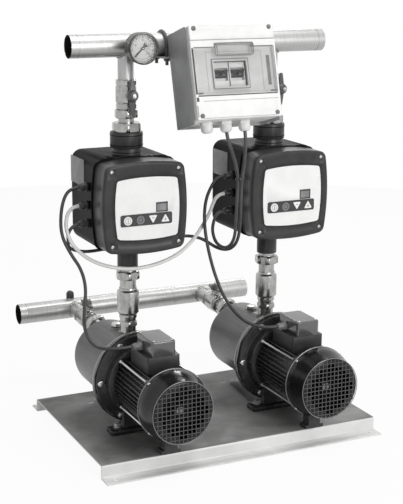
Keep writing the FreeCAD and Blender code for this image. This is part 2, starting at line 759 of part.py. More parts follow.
def bearings_and_seal(x0):
    """The two bearings, as plain rings that carry the shaft, and the seal's fixed ring at the pump."""
    drive = adapter_front() + BEARING_WIDTH
    first = tube(BEARING_R, SHAFT_R + RUNNING_CLEARANCE, at_axis(x0, drive), FRONT, BEARING_WIDTH - 1)
    width = BEARING_WIDTH - 3
    second = tube(BEARING_R, SHAFT_R - 1.5 + RUNNING_CLEARANCE, at_axis(x0, FRAME_END), FRONT, width)
    seal = tube(HUB_R, SHAFT_R + RUNNING_CLEARANCE, at_axis(x0, adapter_rear()), FRONT, SEAL_WIDTH)
    return [first, second, seal]


def fan_cover(x0):
    """A moulded bowl over the fan: skirt, taper, rounded front edge and a square mesh grille."""
    skirt, taper = FRAME_END - 0.3, FRAME_END - 18
    wall, edge, front = COVER_WALL, COVER_ROUNDING, -COVER_FRONT
    inner_front = COVER_FRONT_R - wall
    outer_mid = arc_point((COVER_FRONT_R - edge, front - edge), edge, 45)
    bowl = turning([
        (END_FLANGE_R + RUNNING_CLEARANCE, -skirt), (COVER_R, -skirt), (COVER_R - 0.6, -taper),
        (COVER_FRONT_R, front - edge), outer_mid + (COVER_FRONT_R - edge, front), (0, front),
        (0, front - wall), (inner_front - 3, front - wall), (inner_front, front - wall - 4),
        (COVER_R - wall - 0.6, -taper),
        (END_FLANGE_R + RUNNING_CLEARANCE, -taper)])
    bowl = placed(bowl, vec(x0, 0, AXIS_Z), FRONT)
    cells = []
    count = int(GRILLE_R / GRILLE_PITCH) + 1
    half = (GRILLE_PITCH - GRILLE_BAR) / 2
    for i in range(-count, count):
        for k in range(-count, count):
            x, z = (i + 0.5) * GRILLE_PITCH, (k + 0.5) * GRILLE_PITCH
            if math.hypot(abs(x) + half, abs(z) + half) < GRILLE_R:
                cells.append(box((x0 + x - half, x0 + x + half), (COVER_FRONT - 1, COVER_FRONT + wall + 1),
                                 (AXIS_Z + z - half, AXIS_Z + z + half)))
    return bowl.cut(cells)


def terminal_box(x0):
    """The base of the terminal box, saddled on the motor frame."""
    base = box((x0 - TERMINAL_BASE_HALF_WIDTH, x0 + TERMINAL_BASE_HALF_WIDTH),
               (TERMINAL_BASE_FRONT, TERMINAL_BASE_REAR), (AXIS_Z + FRAME_BORE_R, TERMINAL_BASE_TOP))
    base = base.makeFillet(5, edges_along(base, UP))
    reach = TERMINAL_BASE_REAR - TERMINAL_BASE_FRONT + 2
    saddle = rod(FRAME_R, at_axis(x0, TERMINAL_BASE_REAR + 1), FRONT, reach)
    return base.cut(saddle)


def terminal_lid(x0):
    lid = box((x0 - TERMINAL_HALF_WIDTH, x0 + TERMINAL_HALF_WIDTH), (TERMINAL_FRONT, TERMINAL_REAR),
              (TERMINAL_BASE_TOP, TERMINAL_TOP))
    lid = lid.makeFillet(TERMINAL_ROUNDING, edges_along(lid, UP))
    return lid.makeFillet(3.5, edges_at(lid, "Z", TERMINAL_TOP))


def gland(start, direction, across_flats, dome_r, spin=0.0):
    """A cable gland: hexagon, rounded dome nut and open tip, bored for its cable."""
    length = GLAND_HEX + GLAND_DOME
    dome = turning([(0, 0), (dome_r, 0), (dome_r, length - 6), (GLAND_TIP_R, length), (0, length)])
    body = fused([hexagon(across_flats, vec(0, 0, 0), UP, GLAND_HEX), dome])
    bore = rod(SIGNAL_R, vec(0, 0, length - 8), UP, 10)
    return placed(body.cut(bore), start, direction, spin)


def gland_mouth(start, direction):
    """Where a cable meets its gland: the floor of the bore in the tip."""
    return start.add(direction * (GLAND_HEX + GLAND_DOME - 8))


def controller_gland_starts(side):
    x = PUMP_X[side] - BODY_HALF_WIDTH
    return [vec(x, DISCHARGE_Y, GLAND_MIDDLE_Z + k * GLAND_SPACING) for k in (1, 0, -1)]


def terminal_gland_start(side):
    return vec(PUMP_X[side] - TERMINAL_HALF_WIDTH, TERMINAL_GLAND_Y, TERMINAL_GLAND_Z)


def controller_body(x0):
    """The rear housing with its parting lip and neck, and the ring nut that stands on top of it."""
    low, high = CONTROLLER_Z - BODY_HALF_HEIGHT, CONTROLLER_Z + BODY_HALF_HEIGHT
    width = (x0 - BODY_HALF_WIDTH, x0 + BODY_HALF_WIDTH)
    shell = box(width, (CONTROLLER_PARTING, CONTROLLER_REAR), (low, high))
    shell = shell.makeFillet(BODY_ROUNDING, edges_along(shell, REAR))
    shell = shell.makeFillet(BODY_REAR_ROUNDING, edges_at(shell, "Y", CONTROLLER_REAR))
    lip = pillow(COVER_MID_HALF_WIDTH + BODY_LIP, COVER_MID_HALF_HEIGHT + BODY_LIP,
                 COVER_CORNER_HALF_WIDTH + BODY_LIP, COVER_CORNER_HALF_HEIGHT + BODY_LIP, 5, COVER_CORNER_R)
    lip = lip.translated(vec(x0, CONTROLLER_PARTING, CONTROLLER_Z))
    neck_top = low + 6
    neck = rod(NECK_R, vec(x0, DISCHARGE_Y, CONTROLLER_NECK_BOTTOM), UP, neck_top - CONTROLLER_NECK_BOTTOM)
    flare = rod(NECK_FLARE_R, vec(x0, DISCHARGE_Y, low - 12), UP, 18)
    step = rod(COLLAR_STEP_R, vec(x0, DISCHARGE_Y, high - 12), UP, COLLAR_STEP_TOP - high + 12)
    body = fused([shell, lip, neck, flare, step])
    passage = COLLAR_STEP_TOP - CONTROLLER_NECK_BOTTOM
    body = body.cut(rod(RISER_BORE_R, vec(x0, DISCHARGE_Y, CONTROLLER_NECK_BOTTOM), UP, passage))
    seat = vec(x0, DISCHARGE_Y, COLLAR_STEP_TOP)
    ring = tube(COLLAR_R, RISER_BORE_R, seat, UP, COLLAR_TOP - COLLAR_STEP_TOP)
    rim = [e for e in edges_at(ring, "Z", COLLAR_TOP) if e.Length > 2 * math.pi * (COLLAR_R - 1)]
    return [body, ring.makeChamfer(1.5, rim)]


def key_centres():
    return [(KEY_SPACING * (i - 1.5), STRIP_Z) for i in range(4)]


def key_outline(kind, radius, thickness):
    """A round key, or a triangular one that points down or up, along +Y from y = 0."""
    if kind == "round":
        return rod(radius, vec(0, 0, 0), REAR, thickness)
    sign = 1 if kind == "up" else -1
    across = [radius * math.sin(math.radians(angle)) for angle in (0, 120, 240)]
    upward = [sign * radius * (math.cos(math.radians(angle)) - 0.2) for angle in (0, 120, 240)]
    corners = [vec(x, 0, z) for x, z in zip(across, upward)]
    plate = Part.Face(Part.makePolygon(corners + corners[:1])).extrude(vec(0, thickness, 0))
    return plate.makeFillet(1.5, edges_along(plate, REAR))


KEYS = (("start", "round", KEY_R), ("stop", "round", KEY_R),
        ("down", "down", KEY_TRIANGLE_R), ("up", "up", KEY_TRIANGLE_R))


def label_face():
    return CONTROLLER_FRONT - LABEL_PROUD


def controller_cover(x0):
    """The bowed front cover with the label's pocket and the chamber behind the keys."""
    depth = CONTROLLER_PARTING - CONTROLLER_FRONT
    cover = pillow(COVER_MID_HALF_WIDTH, COVER_MID_HALF_HEIGHT, COVER_CORNER_HALF_WIDTH,
                   COVER_CORNER_HALF_HEIGHT, depth, COVER_CORNER_R)
    cover = cover.makeFillet(COVER_EDGE_R, edges_at(cover, "Y", 0))
    cover = cover.translated(vec(x0, CONTROLLER_FRONT, CONTROLLER_Z))
    seat = label_plate(x0, LABEL_THICKNESS)
    behind = label_face() + LABEL_THICKNESS
    chamber = strip_box(x0, behind, behind + KEY_SKIRT + KEY_TRAVEL + 1)
    screws = [rod(SCREW_R, vec(x, CONTROLLER_FRONT, z), REAR, 2.5) for x, z in screw_places(x0)]
    return cover.cut([seat, chamber] + screws)


def screw_places(x0):
    return [(x0 + i * SCREW_X, CONTROLLER_Z + 2 + k * SCREW_Z) for i in (-1, 1) for k in (-1, 1)]


def label_plate(x0, thickness):
    plate = pillow(LABEL_MID_HALF_WIDTH, LABEL_MID_HALF_HEIGHT, LABEL_CORNER_HALF_WIDTH,
                   LABEL_CORNER_HALF_HEIGHT, thickness, LABEL_CORNER_R)
    return plate.translated(vec(x0 + LABEL_SHIFT_X, label_face(), CONTROLLER_Z + LABEL_SHIFT_Z))


def strip_box(x0, front, rear):
    """A box over the area of the key strip, from one depth to another."""
    z = CONTROLLER_Z + STRIP_Z
    return box((x0 - STRIP_HALF_WIDTH, x0 + STRIP_HALF_WIDTH), (front, rear),
               (z - STRIP_HALF_HEIGHT, z + STRIP_HALF_HEIGHT))


def label_panel(x0):
    """The plain label panel with the raised key strip, the key holes and the display recess."""
    plate = label_plate(x0, LABEL_THICKNESS)
    strip = strip_box(x0, label_face() - STRIP_PROUD, label_face() + 1)
    strip = strip.makeFillet(4, edges_along(strip, REAR))
    cuts = []
    for (x, z), (_, kind, radius) in zip(key_centres(), KEYS):
        margin = KEY_GAP if kind == "round" else 2 * KEY_GAP
        hole = key_outline(kind, radius + margin, LABEL_THICKNESS + 4)
        cuts.append(hole.translated(vec(x0 + x, label_face() - 2, CONTROLLER_Z + z)))
    x, z = x0 + DISPLAY_X, CONTROLLER_Z + DISPLAY_Z
    cuts.append(box((x - DISPLAY_HALF_WIDTH, x + DISPLAY_HALF_WIDTH),
                    (label_face() - 1, label_face() + DISPLAY_RECESS),
                    (z - DISPLAY_HALF_HEIGHT, z + DISPLAY_HALF_HEIGHT)))
    return fused([plate, strip]).cut(cuts)


def controller_key(x0, index):
    """One key with the skirt that keeps it behind the panel."""
    x, z = key_centres()[index]
    _, kind, radius = KEYS[index]
    face = label_face() - STRIP_PROUD - KEY_PROUD
    behind = label_face() + LABEL_THICKNESS
    head = key_outline(kind, radius, behind - face).translated(vec(x0 + x, face, CONTROLLER_Z + z))
    skirt = key_outline("round", KEY_R + KEY_SKIRT_MARGIN, KEY_SKIRT)
    skirt = skirt.translated(vec(x0 + x, behind, CONTROLLER_Z + z))
    return fused([head, skirt])


def cover_screws(x0):
    return [rod(SCREW_R, vec(x, CONTROLLER_FRONT + 0.2, z), REAR, 2.3) for x, z in screw_places(x0)]


def check_valve(x0):
    """A turned body with a seat and, above the poppet, a bridge that guides its stem."""
    low, high = LOWER_HEX_TOP, CHECK_TOP
    seat, chamber_top = low + 26, high - 14
    body = turning([
        (RISER_BORE_R, low), (CHECK_END_R - 2, low), (CHECK_END_R - 2, low + 6), (CHECK_END_R, low + 6),
        (CHECK_END_R, low + 14), (CHECK_R, low + 19), (CHECK_R, high - 8), (CHECK_END_R, high - 4),
        (CHECK_END_R, high), (RISER_BORE_R, high), (RISER_BORE_R, chamber_top),
        (CHECK_CHAMBER_R, chamber_top - 5), (CHECK_CHAMBER_R, seat), (CHECK_SEAT_R, seat),
        (CHECK_SEAT_R, seat - 4), (RISER_BORE_R, seat - 7)])
    bridge_z = seat + 3 + POPPET_TRAVEL + 6
    bridge = box((-CHECK_CHAMBER_R - 1, CHECK_CHAMBER_R + 1), (-5, 5), (bridge_z, bridge_z + 4))
    guide = rod(POPPET_STEM_R + RUNNING_CLEARANCE, vec(0, 0, bridge_z - 1), UP, 6)
    whole = fused([body, bridge]).cut(guide)
    return whole.translated(vec(x0, DISCHARGE_Y, 0))


def check_poppet(x0):
    seat = LOWER_HEX_TOP + 26
    disc = rod(POPPET_R, vec(x0, DISCHARGE_Y, seat), UP, 3)
    stem = rod(POPPET_STEM_R, vec(x0, DISCHARGE_Y, seat), UP, 3 + POPPET_TRAVEL + 6 + 6)
    return fused([disc, stem])


def suction_tail_end():
    """Where the pump's suction nipple ends inside its valve."""
    return SUCTION_VALVE_Y - VALVE_HALF_LENGTH + VALVE_SOCKET


def suction_stub_front():
    """Where the manifold's stub ends inside the same valve."""
    return SUCTION_VALVE_Y + VALVE_HALF_LENGTH - VALVE_SOCKET


def unions(x0):
    """The short pipe pieces of one pump's risers with the hexagon and union nuts round them."""
    return nipples(x0) + union_nuts(x0)


def nipples(x0):
    """The four short pipe pieces: three up the discharge side and one behind the barrel."""
    made = []
    for low, high, radius in ((AXIS_Z + BARREL_R - 2, LOWER_HEX_TOP, RISER_R),
                              (CHECK_TOP, CONTROLLER_NECK_BOTTOM, RISER_R + 1),
                              (COLLAR_TOP, UPPER_UNION_TOP + VALVE_SOCKET, RISER_R)):
        made.append(tube(radius, RISER_BORE_R, vec(x0, DISCHARGE_Y, low), UP, high - low))
    rear = BARREL_REAR - 2
    made.append(tube(RISER_R, RISER_BORE_R, vec(x0, rear, SUCTION_Z), REAR, suction_tail_end() - rear))
    return made


def union_nuts(x0):
    """The hexagons up the riser and the union behind the barrel."""
    foot = vec(x0, DISCHARGE_Y, 0)
    nuts = []
    for low, high, flats, bore in ((NIPPLE_TOP, LOWER_HEX_TOP, LOWER_HEX_AF, RISER_R),
                                   (NECK_TOP, LOWER_UNION_TOP, LOWER_UNION_AF, RISER_R + 1),
                                   (COLLAR_TOP, RING_NUT_TOP, RING_NUT_AF, RISER_R),
                                   (UPPER_UNION_BOTTOM, UPPER_UNION_TOP, UPPER_UNION_AF, RISER_R)):
        start = foot.add(vec(0, 0, low))
        nut = hexagon(flats, start, UP, high - low, 3.0, 15.0)
        nuts.append(nut.cut(rod(bore, start, UP, high - low)))
    start = vec(x0, SUCTION_UNION_START, SUCTION_Z)
    union = fused([hexagon(LOWER_UNION_AF, start, REAR, SUCTION_UNION_LENGTH - 10, 3.0),
                   rod(RISER_R + 4, start, REAR, SUCTION_UNION_LENGTH)])
    nuts.append(union.cut(rod(RISER_R, start, REAR, SUCTION_UNION_LENGTH)))
    return nuts


def valve_body():
    """A ball valve body about the origin: flow along Z, stem towards +Y."""
    half, hex_length = VALVE_HALF_LENGTH, VALVE_HEX_LENGTH
    shoulder = half - hex_length
    barrel = turning([(0, -shoulder), (VALVE_BODY_R - 2, -shoulder), (VALVE_BODY_R, -shoulder + 3),
                      (VALVE_BODY_R, shoulder - 3), (VALVE_BODY_R - 2, shoulder), (0, shoulder)])
    ends = [hexagon(VALVE_HEX_AF, vec(0, 0, low), UP, hex_length, 2.0, 15.0) for low in (-half, shoulder)]
    boss = rod(STEM_BOSS_R, vec(0, 0, 0), REAR, STEM_BOSS_TOP)
    flats = hexagon(2 * STEM_BOSS_R, vec(0, VALVE_BODY_R + 2, 0), REAR, 5, 1.0)
    body = fused([barrel, boss, flats] + ends)
    cavity = Part.makeSphere(BALL_R + SEAT_CLEARANCE)
    cuts = [cavity, rod(RISER_BORE_R, vec(0, 0, -half), UP, 2 * half),
            rod(STEM_R + RUNNING_CLEARANCE, vec(0, 0, 0), REAR, STEM_BOSS_TOP + 1)]
    cuts += [rod(RISER_R, vec(0, 0, low), UP, VALVE_SOCKET) for low in (-half, half - VALVE_SOCKET)]
    return body.cut(cuts)


def valve_ball():
    """The bored ball with its stem."""
    ball = Part.makeSphere(BALL_R).cut(rod(BALL_BORE_R, vec(0, 0, -BALL_R), UP, 2 * BALL_R))
    stem = rod(STEM_R, vec(0, BALL_BORE_R + 1, 0), REAR, HANDLE_HUB_TOP - 3 - BALL_BORE_R - 1)
    return fused([ball, stem])


def valve_handle():
    """A butterfly handle along the flow: two wings that narrow towards their tips and a round hub."""
    low = STEM_BOSS_TOP + HANDLE_RISE
    root, tip = HANDLE_WIDTH / 2, HANDLE_TIP_WIDTH / 2
    half = HANDLE_HALF_LENGTH
    outline = [(-tip, -half), (tip, -half), (root, -HANDLE_HUB_R), (root, HANDLE_HUB_R), (tip, half),
               (-tip, half), (-root, HANDLE_HUB_R), (-root, -HANDLE_HUB_R)]
    corners = [vec(x, low, z) for x, z in outline]
    bar = Part.Face(Part.makePolygon(corners + corners[:1])).extrude(vec(0, HANDLE_THICKNESS, 0))
    bar = bar.makeFillet(tip - 0.5, edges_along(bar, REAR, lambda middle: abs(middle.z) > half - 1))
    cap = HANDLE_HUB_TOP + 1
    hub = turning([(0, low), (HANDLE_HUB_R, low), (HANDLE_HUB_R, low + 7), (HANDLE_HUB_R - 3, cap), (0, cap)])
    hub = placed(hub, vec(0, 0, 0), REAR)
    socket = rod(STEM_R, vec(0, low, 0), REAR, HANDLE_HUB_TOP - 3 - low)
    return fused([bar, hub]).cut(socket)


def discharge_valve_place(side):
    turn = 180.0 + (RIGHT_VALVE_TURN if side == "right" else 0.0)
    return FreeCAD.Placement(vec(PUMP_X[side], DISCHARGE_Y, discharge_valve_z()), FreeCAD.Rotation(UP, turn))


def discharge_valve_z():
    return UPPER_UNION_TOP + VALVE_HALF_LENGTH


def suction_valve_place(side):
    return FreeCAD.Placement(vec(PUMP_X[side], SUCTION_VALVE_Y, SUCTION_Z), FreeCAD.Rotation(RIGHT, 90))


def set_at(shape, placement):
    moved = shape.copy()
    moved.Placement = placement
    return moved


def branched_pipe(left, right, centre, branches):
    """A straight pipe along X with a turned line near each end, and a saddled tube welded on at each branch.

    Each branch is its origin in the pipe, its direction, outer radius, bore radius and reach.
    """
    start = vec(left, centre.y, centre.z)
    whole = rod(MANIFOLD_R, start, RIGHT, right - left)
    cuts = [rod(MANIFOLD_BORE_R, start, RIGHT, right - left)]
    for x in (left + END_STRETCH, right - END_STRETCH - END_LINE):
        line_start = vec(x, centre.y, centre.z)
        cuts.append(tube(MANIFOLD_R + 1, MANIFOLD_R - END_LINE_DEPTH, line_start, RIGHT, END_LINE))
    tubes = []
    for origin, direction, radius, bore, reach in branches:
        cuts.append(rod(bore, origin, direction, reach))
        tubes.append(tube(radius, bore, origin, direction, reach).cut(whole))
    return [whole.cut(cuts)] + tubes


def discharge_manifold():
    """The upper pipe with a stub down to each valve and the gauge's socket in front."""
    centre = vec(0, DISCHARGE_Y, DISCHARGE_Z)
    drop = DISCHARGE_Z - discharge_valve_z() - VALVE_HALF_LENGTH + VALVE_SOCKET
    branches = [(vec(x0, centre.y, centre.z), DOWN, RISER_R, RISER_BORE_R, drop) for x0 in PUMP_X.values()]
    saddle = DISCHARGE_Y - GAUGE_SOCKET_END
    branches.append((gauge_axis(DISCHARGE_Y), FRONT, GAUGE_SOCKET_R, GAUGE_PORT_R, saddle))
    return branched_pipe(DISCHARGE_LEFT, DISCHARGE_RIGHT, centre, branches)


def suction_manifold():
    """The lower pipe with a stub forward to each valve and a small boss on top for the cap."""
    centre = vec(0, SUCTION_Y, SUCTION_Z)
    reach = SUCTION_Y - suction_stub_front()
    branches = [(vec(x0, centre.y, centre.z), FRONT, RISER_R, RISER_BORE_R, reach) for x0 in PUMP_X.values()]
    branches.append((vec(BOSS_X, centre.y, centre.z), UP, BOSS_R, BOSS_BORE_R, MANIFOLD_R + BOSS_RISE))
    return branched_pipe(SUCTION_LEFT, SUCTION_RIGHT, centre, branches)


def boss_cap():
    """The domed cap that closes the suction manifold's boss."""
    rise = BOSS_CAP_HEIGHT - BOSS_CAP_SKIRT
    dome_r = (BOSS_CAP_R ** 2 + rise ** 2) / (2 * rise)
    edge = math.degrees(math.acos(BOSS_CAP_R / dome_r))
    middle = arc_point((0, BOSS_CAP_HEIGHT - dome_r), dome_r, (edge + 90) / 2)
    grip = BOSS_RISE - BOSS_CAP_LIFT
    cap = turning([(0, grip), (BOSS_R, grip), (BOSS_R, 0), (BOSS_CAP_R, 0), (BOSS_CAP_R, BOSS_CAP_SKIRT),
                   middle + (0, BOSS_CAP_HEIGHT)])
    return cap.translated(vec(BOSS_X, SUCTION_Y, SUCTION_Z + MANIFOLD_R + BOSS_CAP_LIFT))


def plugs():
    """The cap on the suction manifold's boss and a priming plug on each barrel."""
    pieces = [boss_cap()]
    for x0 in PUMP_X.values():
        top = vec(x0, PLUG_Y, AXIS_Z + BARREL_R + 2)
        shank = rod(PLUG_SHANK_R, top.sub(vec(0, 0, BARREL_WALL + 2)), UP, BARREL_WALL + 2)
        pieces.append(fused([shank, hexagon(PLUG_AF, top, UP, PLUG_HEAD)]))
    return pieces


def gauge_axis(y):
    return vec(GAUGE_X, y, GAUGE_Z)


def gauge_case():
    """A round cup with a wider bezel ring, a hexagon and a stem into the socket."""
    rear = GAUGE_FRONT + GAUGE_CASE_DEPTH
    depth, wall = GAUGE_CASE_DEPTH, GAUGE_WALL
    glass_seat = depth - 4
    cup = turning([
        (0, 0), (GAUGE_CASE_R - 2, 0), (GAUGE_CASE_R, 2), (GAUGE_CASE_R, depth - GAUGE_BEZEL),
        (GAUGE_BEZEL_R, depth - GAUGE_BEZEL + 1), (GAUGE_BEZEL_R, depth - 1.5), (GAUGE_BEZEL_R - 1.5, depth),
        (GAUGE_CASE_R - 2.5, depth), (GAUGE_CASE_R - 2.5, glass_seat), (GAUGE_CASE_R - wall, glass_seat),
        (GAUGE_CASE_R - wall, wall), (0, wall)])
    cup = placed(cup, gauge_axis(rear), FRONT)
    hexed = hexagon(GAUGE_HEX_AF, gauge_axis(GAUGE_SOCKET_END), FRONT, GAUGE_SOCKET_END - rear)
    stem = rod(GAUGE_PORT_R, gauge_axis(GAUGE_SOCKET_END + 10), FRONT, 12)
    return fused([cup, hexed, stem])


def dial_front():
    return GAUGE_FRONT + GAUGE_DIAL_DEPTH


def gauge_dial():
    """The dial with the post that carries the needle."""
    front = dial_front()
    disc = rod(GAUGE_CASE_R - GAUGE_WALL, gauge_axis(front + GAUGE_DIAL), FRONT, GAUGE_DIAL)
    stand = rod(12, gauge_axis(GAUGE_FRONT + GAUGE_CASE_DEPTH - GAUGE_WALL), FRONT,
                GAUGE_CASE_DEPTH - GAUGE_WALL - GAUGE_DIAL_DEPTH)
    post = rod(1.2, gauge_axis(front), FRONT, 3.5)
    return fused([disc, stand, post])


def gauge_needle():
    """A tapered pointer with a hub and a short wide tail, pointing at the start of the scale."""
    outline = [(-1.6, -NEEDLE_TAIL), (1.6, -NEEDLE_TAIL), (1.3, 0), (0.5, NEEDLE_LENGTH),
               (-0.5, NEEDLE_LENGTH), (-1.3, 0)]
    pointer = fused([prism(outline, 0.8), rod(3.2, vec(0, 0, 0), UP, 1.6)])
    pointer = pointer.cut(rod(1.2 + RUNNING_CLEARANCE, vec(0, 0, -1), UP, 4))
    upright = FreeCAD.Rotation(RIGHT, 90)
    turn = FreeCAD.Rotation(REAR, NEEDLE_ZERO)
    return set_at(pointer, FreeCAD.Placement(gauge_axis(dial_front() - 1), turn.multiply(upright)))


def gauge_glass():
    return rod(GAUGE_CASE_R - 2.5, gauge_axis(GAUGE_FRONT + 3), FRONT, GAUGE_GLASS)


def panel_place():
    """The panel's own frame: origin at the middle of the front's bottom edge, Z up along the face."""
    origin = vec(PANEL_X, PANEL_BOTTOM_Y, PANEL_BOTTOM_Z)
    return FreeCAD.Placement(origin, FreeCAD.Rotation(RIGHT, -PANEL_TILT))


def on_panel(shape):
    return set_at(shape, panel_place())


def panel_box():
    """The rear tray of the enclosure, open towards the cover, with a rail rib for the breakers."""
    half = PANEL_WIDTH / 2
    tray = box((-half, half), (PANEL_COVER, PANEL_DEPTH), (0, PANEL_HEIGHT))
    tray = tray.makeFillet(PANEL_ROUNDING, edges_along(tray, REAR))
    wall = PANEL_WALL
    hollow = box((-half + wall, half - wall), (PANEL_COVER, PANEL_DEPTH - wall), (wall, PANEL_HEIGHT - wall))
    span = half - 12
    rail = box((-span, span), (breaker_back(), PANEL_DEPTH - wall), (BREAKER_Z - 15, BREAKER_Z + 15))
    holes = [rod(panel_gland_hole(), vec(x, panel_gland_y(), 0), UP, wall) for x in PANEL_GLAND_X]
    return on_panel(fused([tray.cut(hollow), rail]).cut(holes))


def panel_gland_y():
    return PANEL_DEPTH / 2 - 6


def panel_gland_hole():
    return SIGNAL_R + 1


def breaker_back():
    return PANEL_DEPTH - PANEL_WALL - 22


def window_hinge():
    """The window's hinge axis in the panel's frame, as (y, z)."""
    return (WINDOW_SHEET, WINDOW_BOTTOM + WINDOW_PIN_INSET)


def panel_cover():
    """The front cover with a band line, the window's pocket and the breakers' cut-out."""
    half = PANEL_WIDTH / 2
    cover = box((-half, half), (0, PANEL_COVER), (0, PANEL_HEIGHT))
    cover = cover.makeFillet(PANEL_ROUNDING, edges_along(cover, REAR))
    cover = cover.makeFillet(2.5, edges_at(cover, "Y", 0))
    gap = WINDOW_GAP
    pocket = box((-WINDOW_HALF_WIDTH - gap, WINDOW_HALF_WIDTH + gap), (-1, WINDOW_POCKET),
                 (WINDOW_BOTTOM - gap, WINDOW_TOP + gap))
    grip = box((-GRIP_HALF_WIDTH - gap, GRIP_HALF_WIDTH + gap), (-1, WINDOW_POCKET),
               (WINDOW_TOP - 1, GRIP_TOP + gap))
    back = box((-half + PANEL_WALL, half - PANEL_WALL), (WINDOW_POCKET + 3, PANEL_COVER),
               (PANEL_WALL, PANEL_HEIGHT - PANEL_WALL))
    low, high = BREAKER_Z - BREAKER_SHOULDER - 1, BREAKER_Z + BREAKER_SHOULDER + 1
    reach = BREAKER_X + BREAKER_HALF_WIDTH
    opening = box((BREAKER_CENTRE_X - reach - 1, BREAKER_CENTRE_X + reach + 1), (-1, PANEL_COVER), (low, high))
    line = box((-half, half), (-1, 0.8), (BAND_LINE_Z, BAND_LINE_Z + 1.5))
    collar = box((BREAKER_CENTRE_X - reach - 4, BREAKER_CENTRE_X + reach + 4),
                 (WINDOW_POCKET - 3, WINDOW_POCKET + 3), (low - 3, high + 3)).cut(opening)
    screws = [rod(SCREW_R + 1, vec(x, 0, z), REAR, 4) for x, z in panel_screw_places()]
    y, z = window_hinge()
    pins = rod(WINDOW_PIN_R, vec(-WINDOW_HALF_WIDTH - 4, y, z), RIGHT, 2 * WINDOW_HALF_WIDTH + 8)
    cover = fused([cover.cut([pocket, grip, opening, line, back] + screws), collar])
    return on_panel(cover.cut(pins))


def panel_screw_places():
    reach = PANEL_WIDTH / 2 - PANEL_SCREW_INSET
    return [(s * reach, z) for s in (-1, 1) for z in (PANEL_SCREW_BOTTOM, PANEL_HEIGHT - PANEL_SCREW_TOP)]


def panel_window():
    """The clear hinged window: sheet with a rim, a grip tab at the top and knuckles at the hinge."""
    half, sheet, rim = WINDOW_HALF_WIDTH, WINDOW_SHEET, WINDOW_RIM
    pane = box((-half, half), (0, sheet), (WINDOW_BOTTOM + WINDOW_PIN_INSET, WINDOW_TOP))
    pane = pane.makeFillet(3, edges_along(pane, REAR, lambda m: m.z > WINDOW_TOP - 1))
    edge = box((-half, half), (sheet, sheet + 3), (WINDOW_BOTTOM + 2 * WINDOW_PIN_INSET + 1, WINDOW_TOP))
    inside = box((-half + rim, half - rim), (sheet, sheet + 3),
                 (WINDOW_BOTTOM + 2 * WINDOW_PIN_INSET + rim, WINDOW_TOP - rim))
    grip = box((-GRIP_HALF_WIDTH, GRIP_HALF_WIDTH), (-GRIP_PROUD, sheet), (GRIP_BOTTOM, GRIP_TOP))
    grip = grip.makeFillet(6, edges_along(grip, REAR))
    reach = GRIP_HALF_WIDTH - 5
    scoop = box((-reach, reach), (-GRIP_PROUD, 0), (GRIP_BOTTOM + 4, GRIP_TOP - 4))
    y, z = window_hinge()
    barrel = rod(sheet / 2 + 0.8, vec(-half, y, z), RIGHT, 2 * half)
    bore = rod(WINDOW_PIN_R + RUNNING_CLEARANCE, vec(-half, y, z), RIGHT, 2 * half)
    return on_panel(fused([pane, edge.cut(inside), grip.cut(scoop), barrel]).cut(bore))


def breaker_places():
    return {"left": BREAKER_CENTRE_X - BREAKER_X, "right": BREAKER_CENTRE_X + BREAKER_X}


def toggle_axis():
    """The toggles' pivot in the panel's frame, as (y, z)."""
    return (BREAKER_SHOULDER_Y + 3.0, BREAKER_Z)


def breaker_body(x):
    """A stepped breaker housing with the slot and pivot bore of its toggle."""
    half = BREAKER_HALF_WIDTH
    y, z = toggle_axis()
    body = box((x - half, x + half), (BREAKER_SHOULDER_Y + 16, breaker_back()),
               (BREAKER_Z - BREAKER_HALF_HEIGHT, BREAKER_Z + BREAKER_HALF_HEIGHT))
    nose = box((x - half, x + half), (BREAKER_SHOULDER_Y - 6, BREAKER_SHOULDER_Y + 16),
               (BREAKER_Z - BREAKER_SHOULDER, BREAKER_Z + BREAKER_SHOULDER))
    room = rod(TOGGLE_R + SEAT_CLEARANCE, vec(x - TOGGLE_HALF_WIDTH - SEAT_CLEARANCE, y, z), RIGHT,
               2 * (TOGGLE_HALF_WIDTH + SEAT_CLEARANCE))
    mouth = box((x - TOGGLE_HALF_WIDTH - SEAT_CLEARANCE, x + TOGGLE_HALF_WIDTH + SEAT_CLEARANCE),
                (BREAKER_SHOULDER_Y - 7, y), (z - 13, z + 13))
    pin = rod(1.5, vec(x - half + 0.5, y, z), RIGHT, 2 * half - 1)
    return on_panel(fused([fused([body, nose]).cut([room, mouth]), pin]))


def breaker_toggle(x):
    """A toggle: a round hub with two arms joined by a bar at their tips, standing at its upper position."""
    y, z = toggle_axis()
    hub = rod(TOGGLE_R, vec(x - TOGGLE_HALF_WIDTH, 0, 0), RIGHT, 2 * TOGGLE_HALF_WIDTH)
    bar = box((x - TOGGLE_HALF_WIDTH, x + TOGGLE_HALF_WIDTH), (-TOGGLE_LENGTH, 0),
              (-TOGGLE_THICKNESS / 2, TOGGLE_THICKNESS / 2))
    bar = bar.makeFillet(1.2, edges_along(bar, RIGHT, lambda m: m.y < -1))
    bore = rod(1.5 + RUNNING_CLEARANCE, vec(x - TOGGLE_HALF_WIDTH, 0, 0), RIGHT, 2 * TOGGLE_HALF_WIDTH)
    notch = box((x - TOGGLE_NOTCH_HALF_WIDTH, x + TOGGLE_NOTCH_HALF_WIDTH),
                (-TOGGLE_LENGTH + TOGGLE_BRIDGE, -TOGGLE_CORE_R), (-TOGGLE_R - 1, TOGGLE_R + 1))
    toggle = fused([hub, bar]).cut([bore, notch])
    raised = set_at(toggle, FreeCAD.Placement(vec(0, y, z), FreeCAD.Rotation(RIGHT, -TOGGLE_REST)))
    whole = raised.copy()
    whole.Placement = panel_place().multiply(raised.Placement)
    return whole


def panel_gland(x):
    local_start = vec(x, panel_gland_y(), 0)
    start = panel_place().multVec(local_start)
    return gland(start, panel_down(), PANEL_GLAND_AF, PANEL_GLAND_DOME_R)


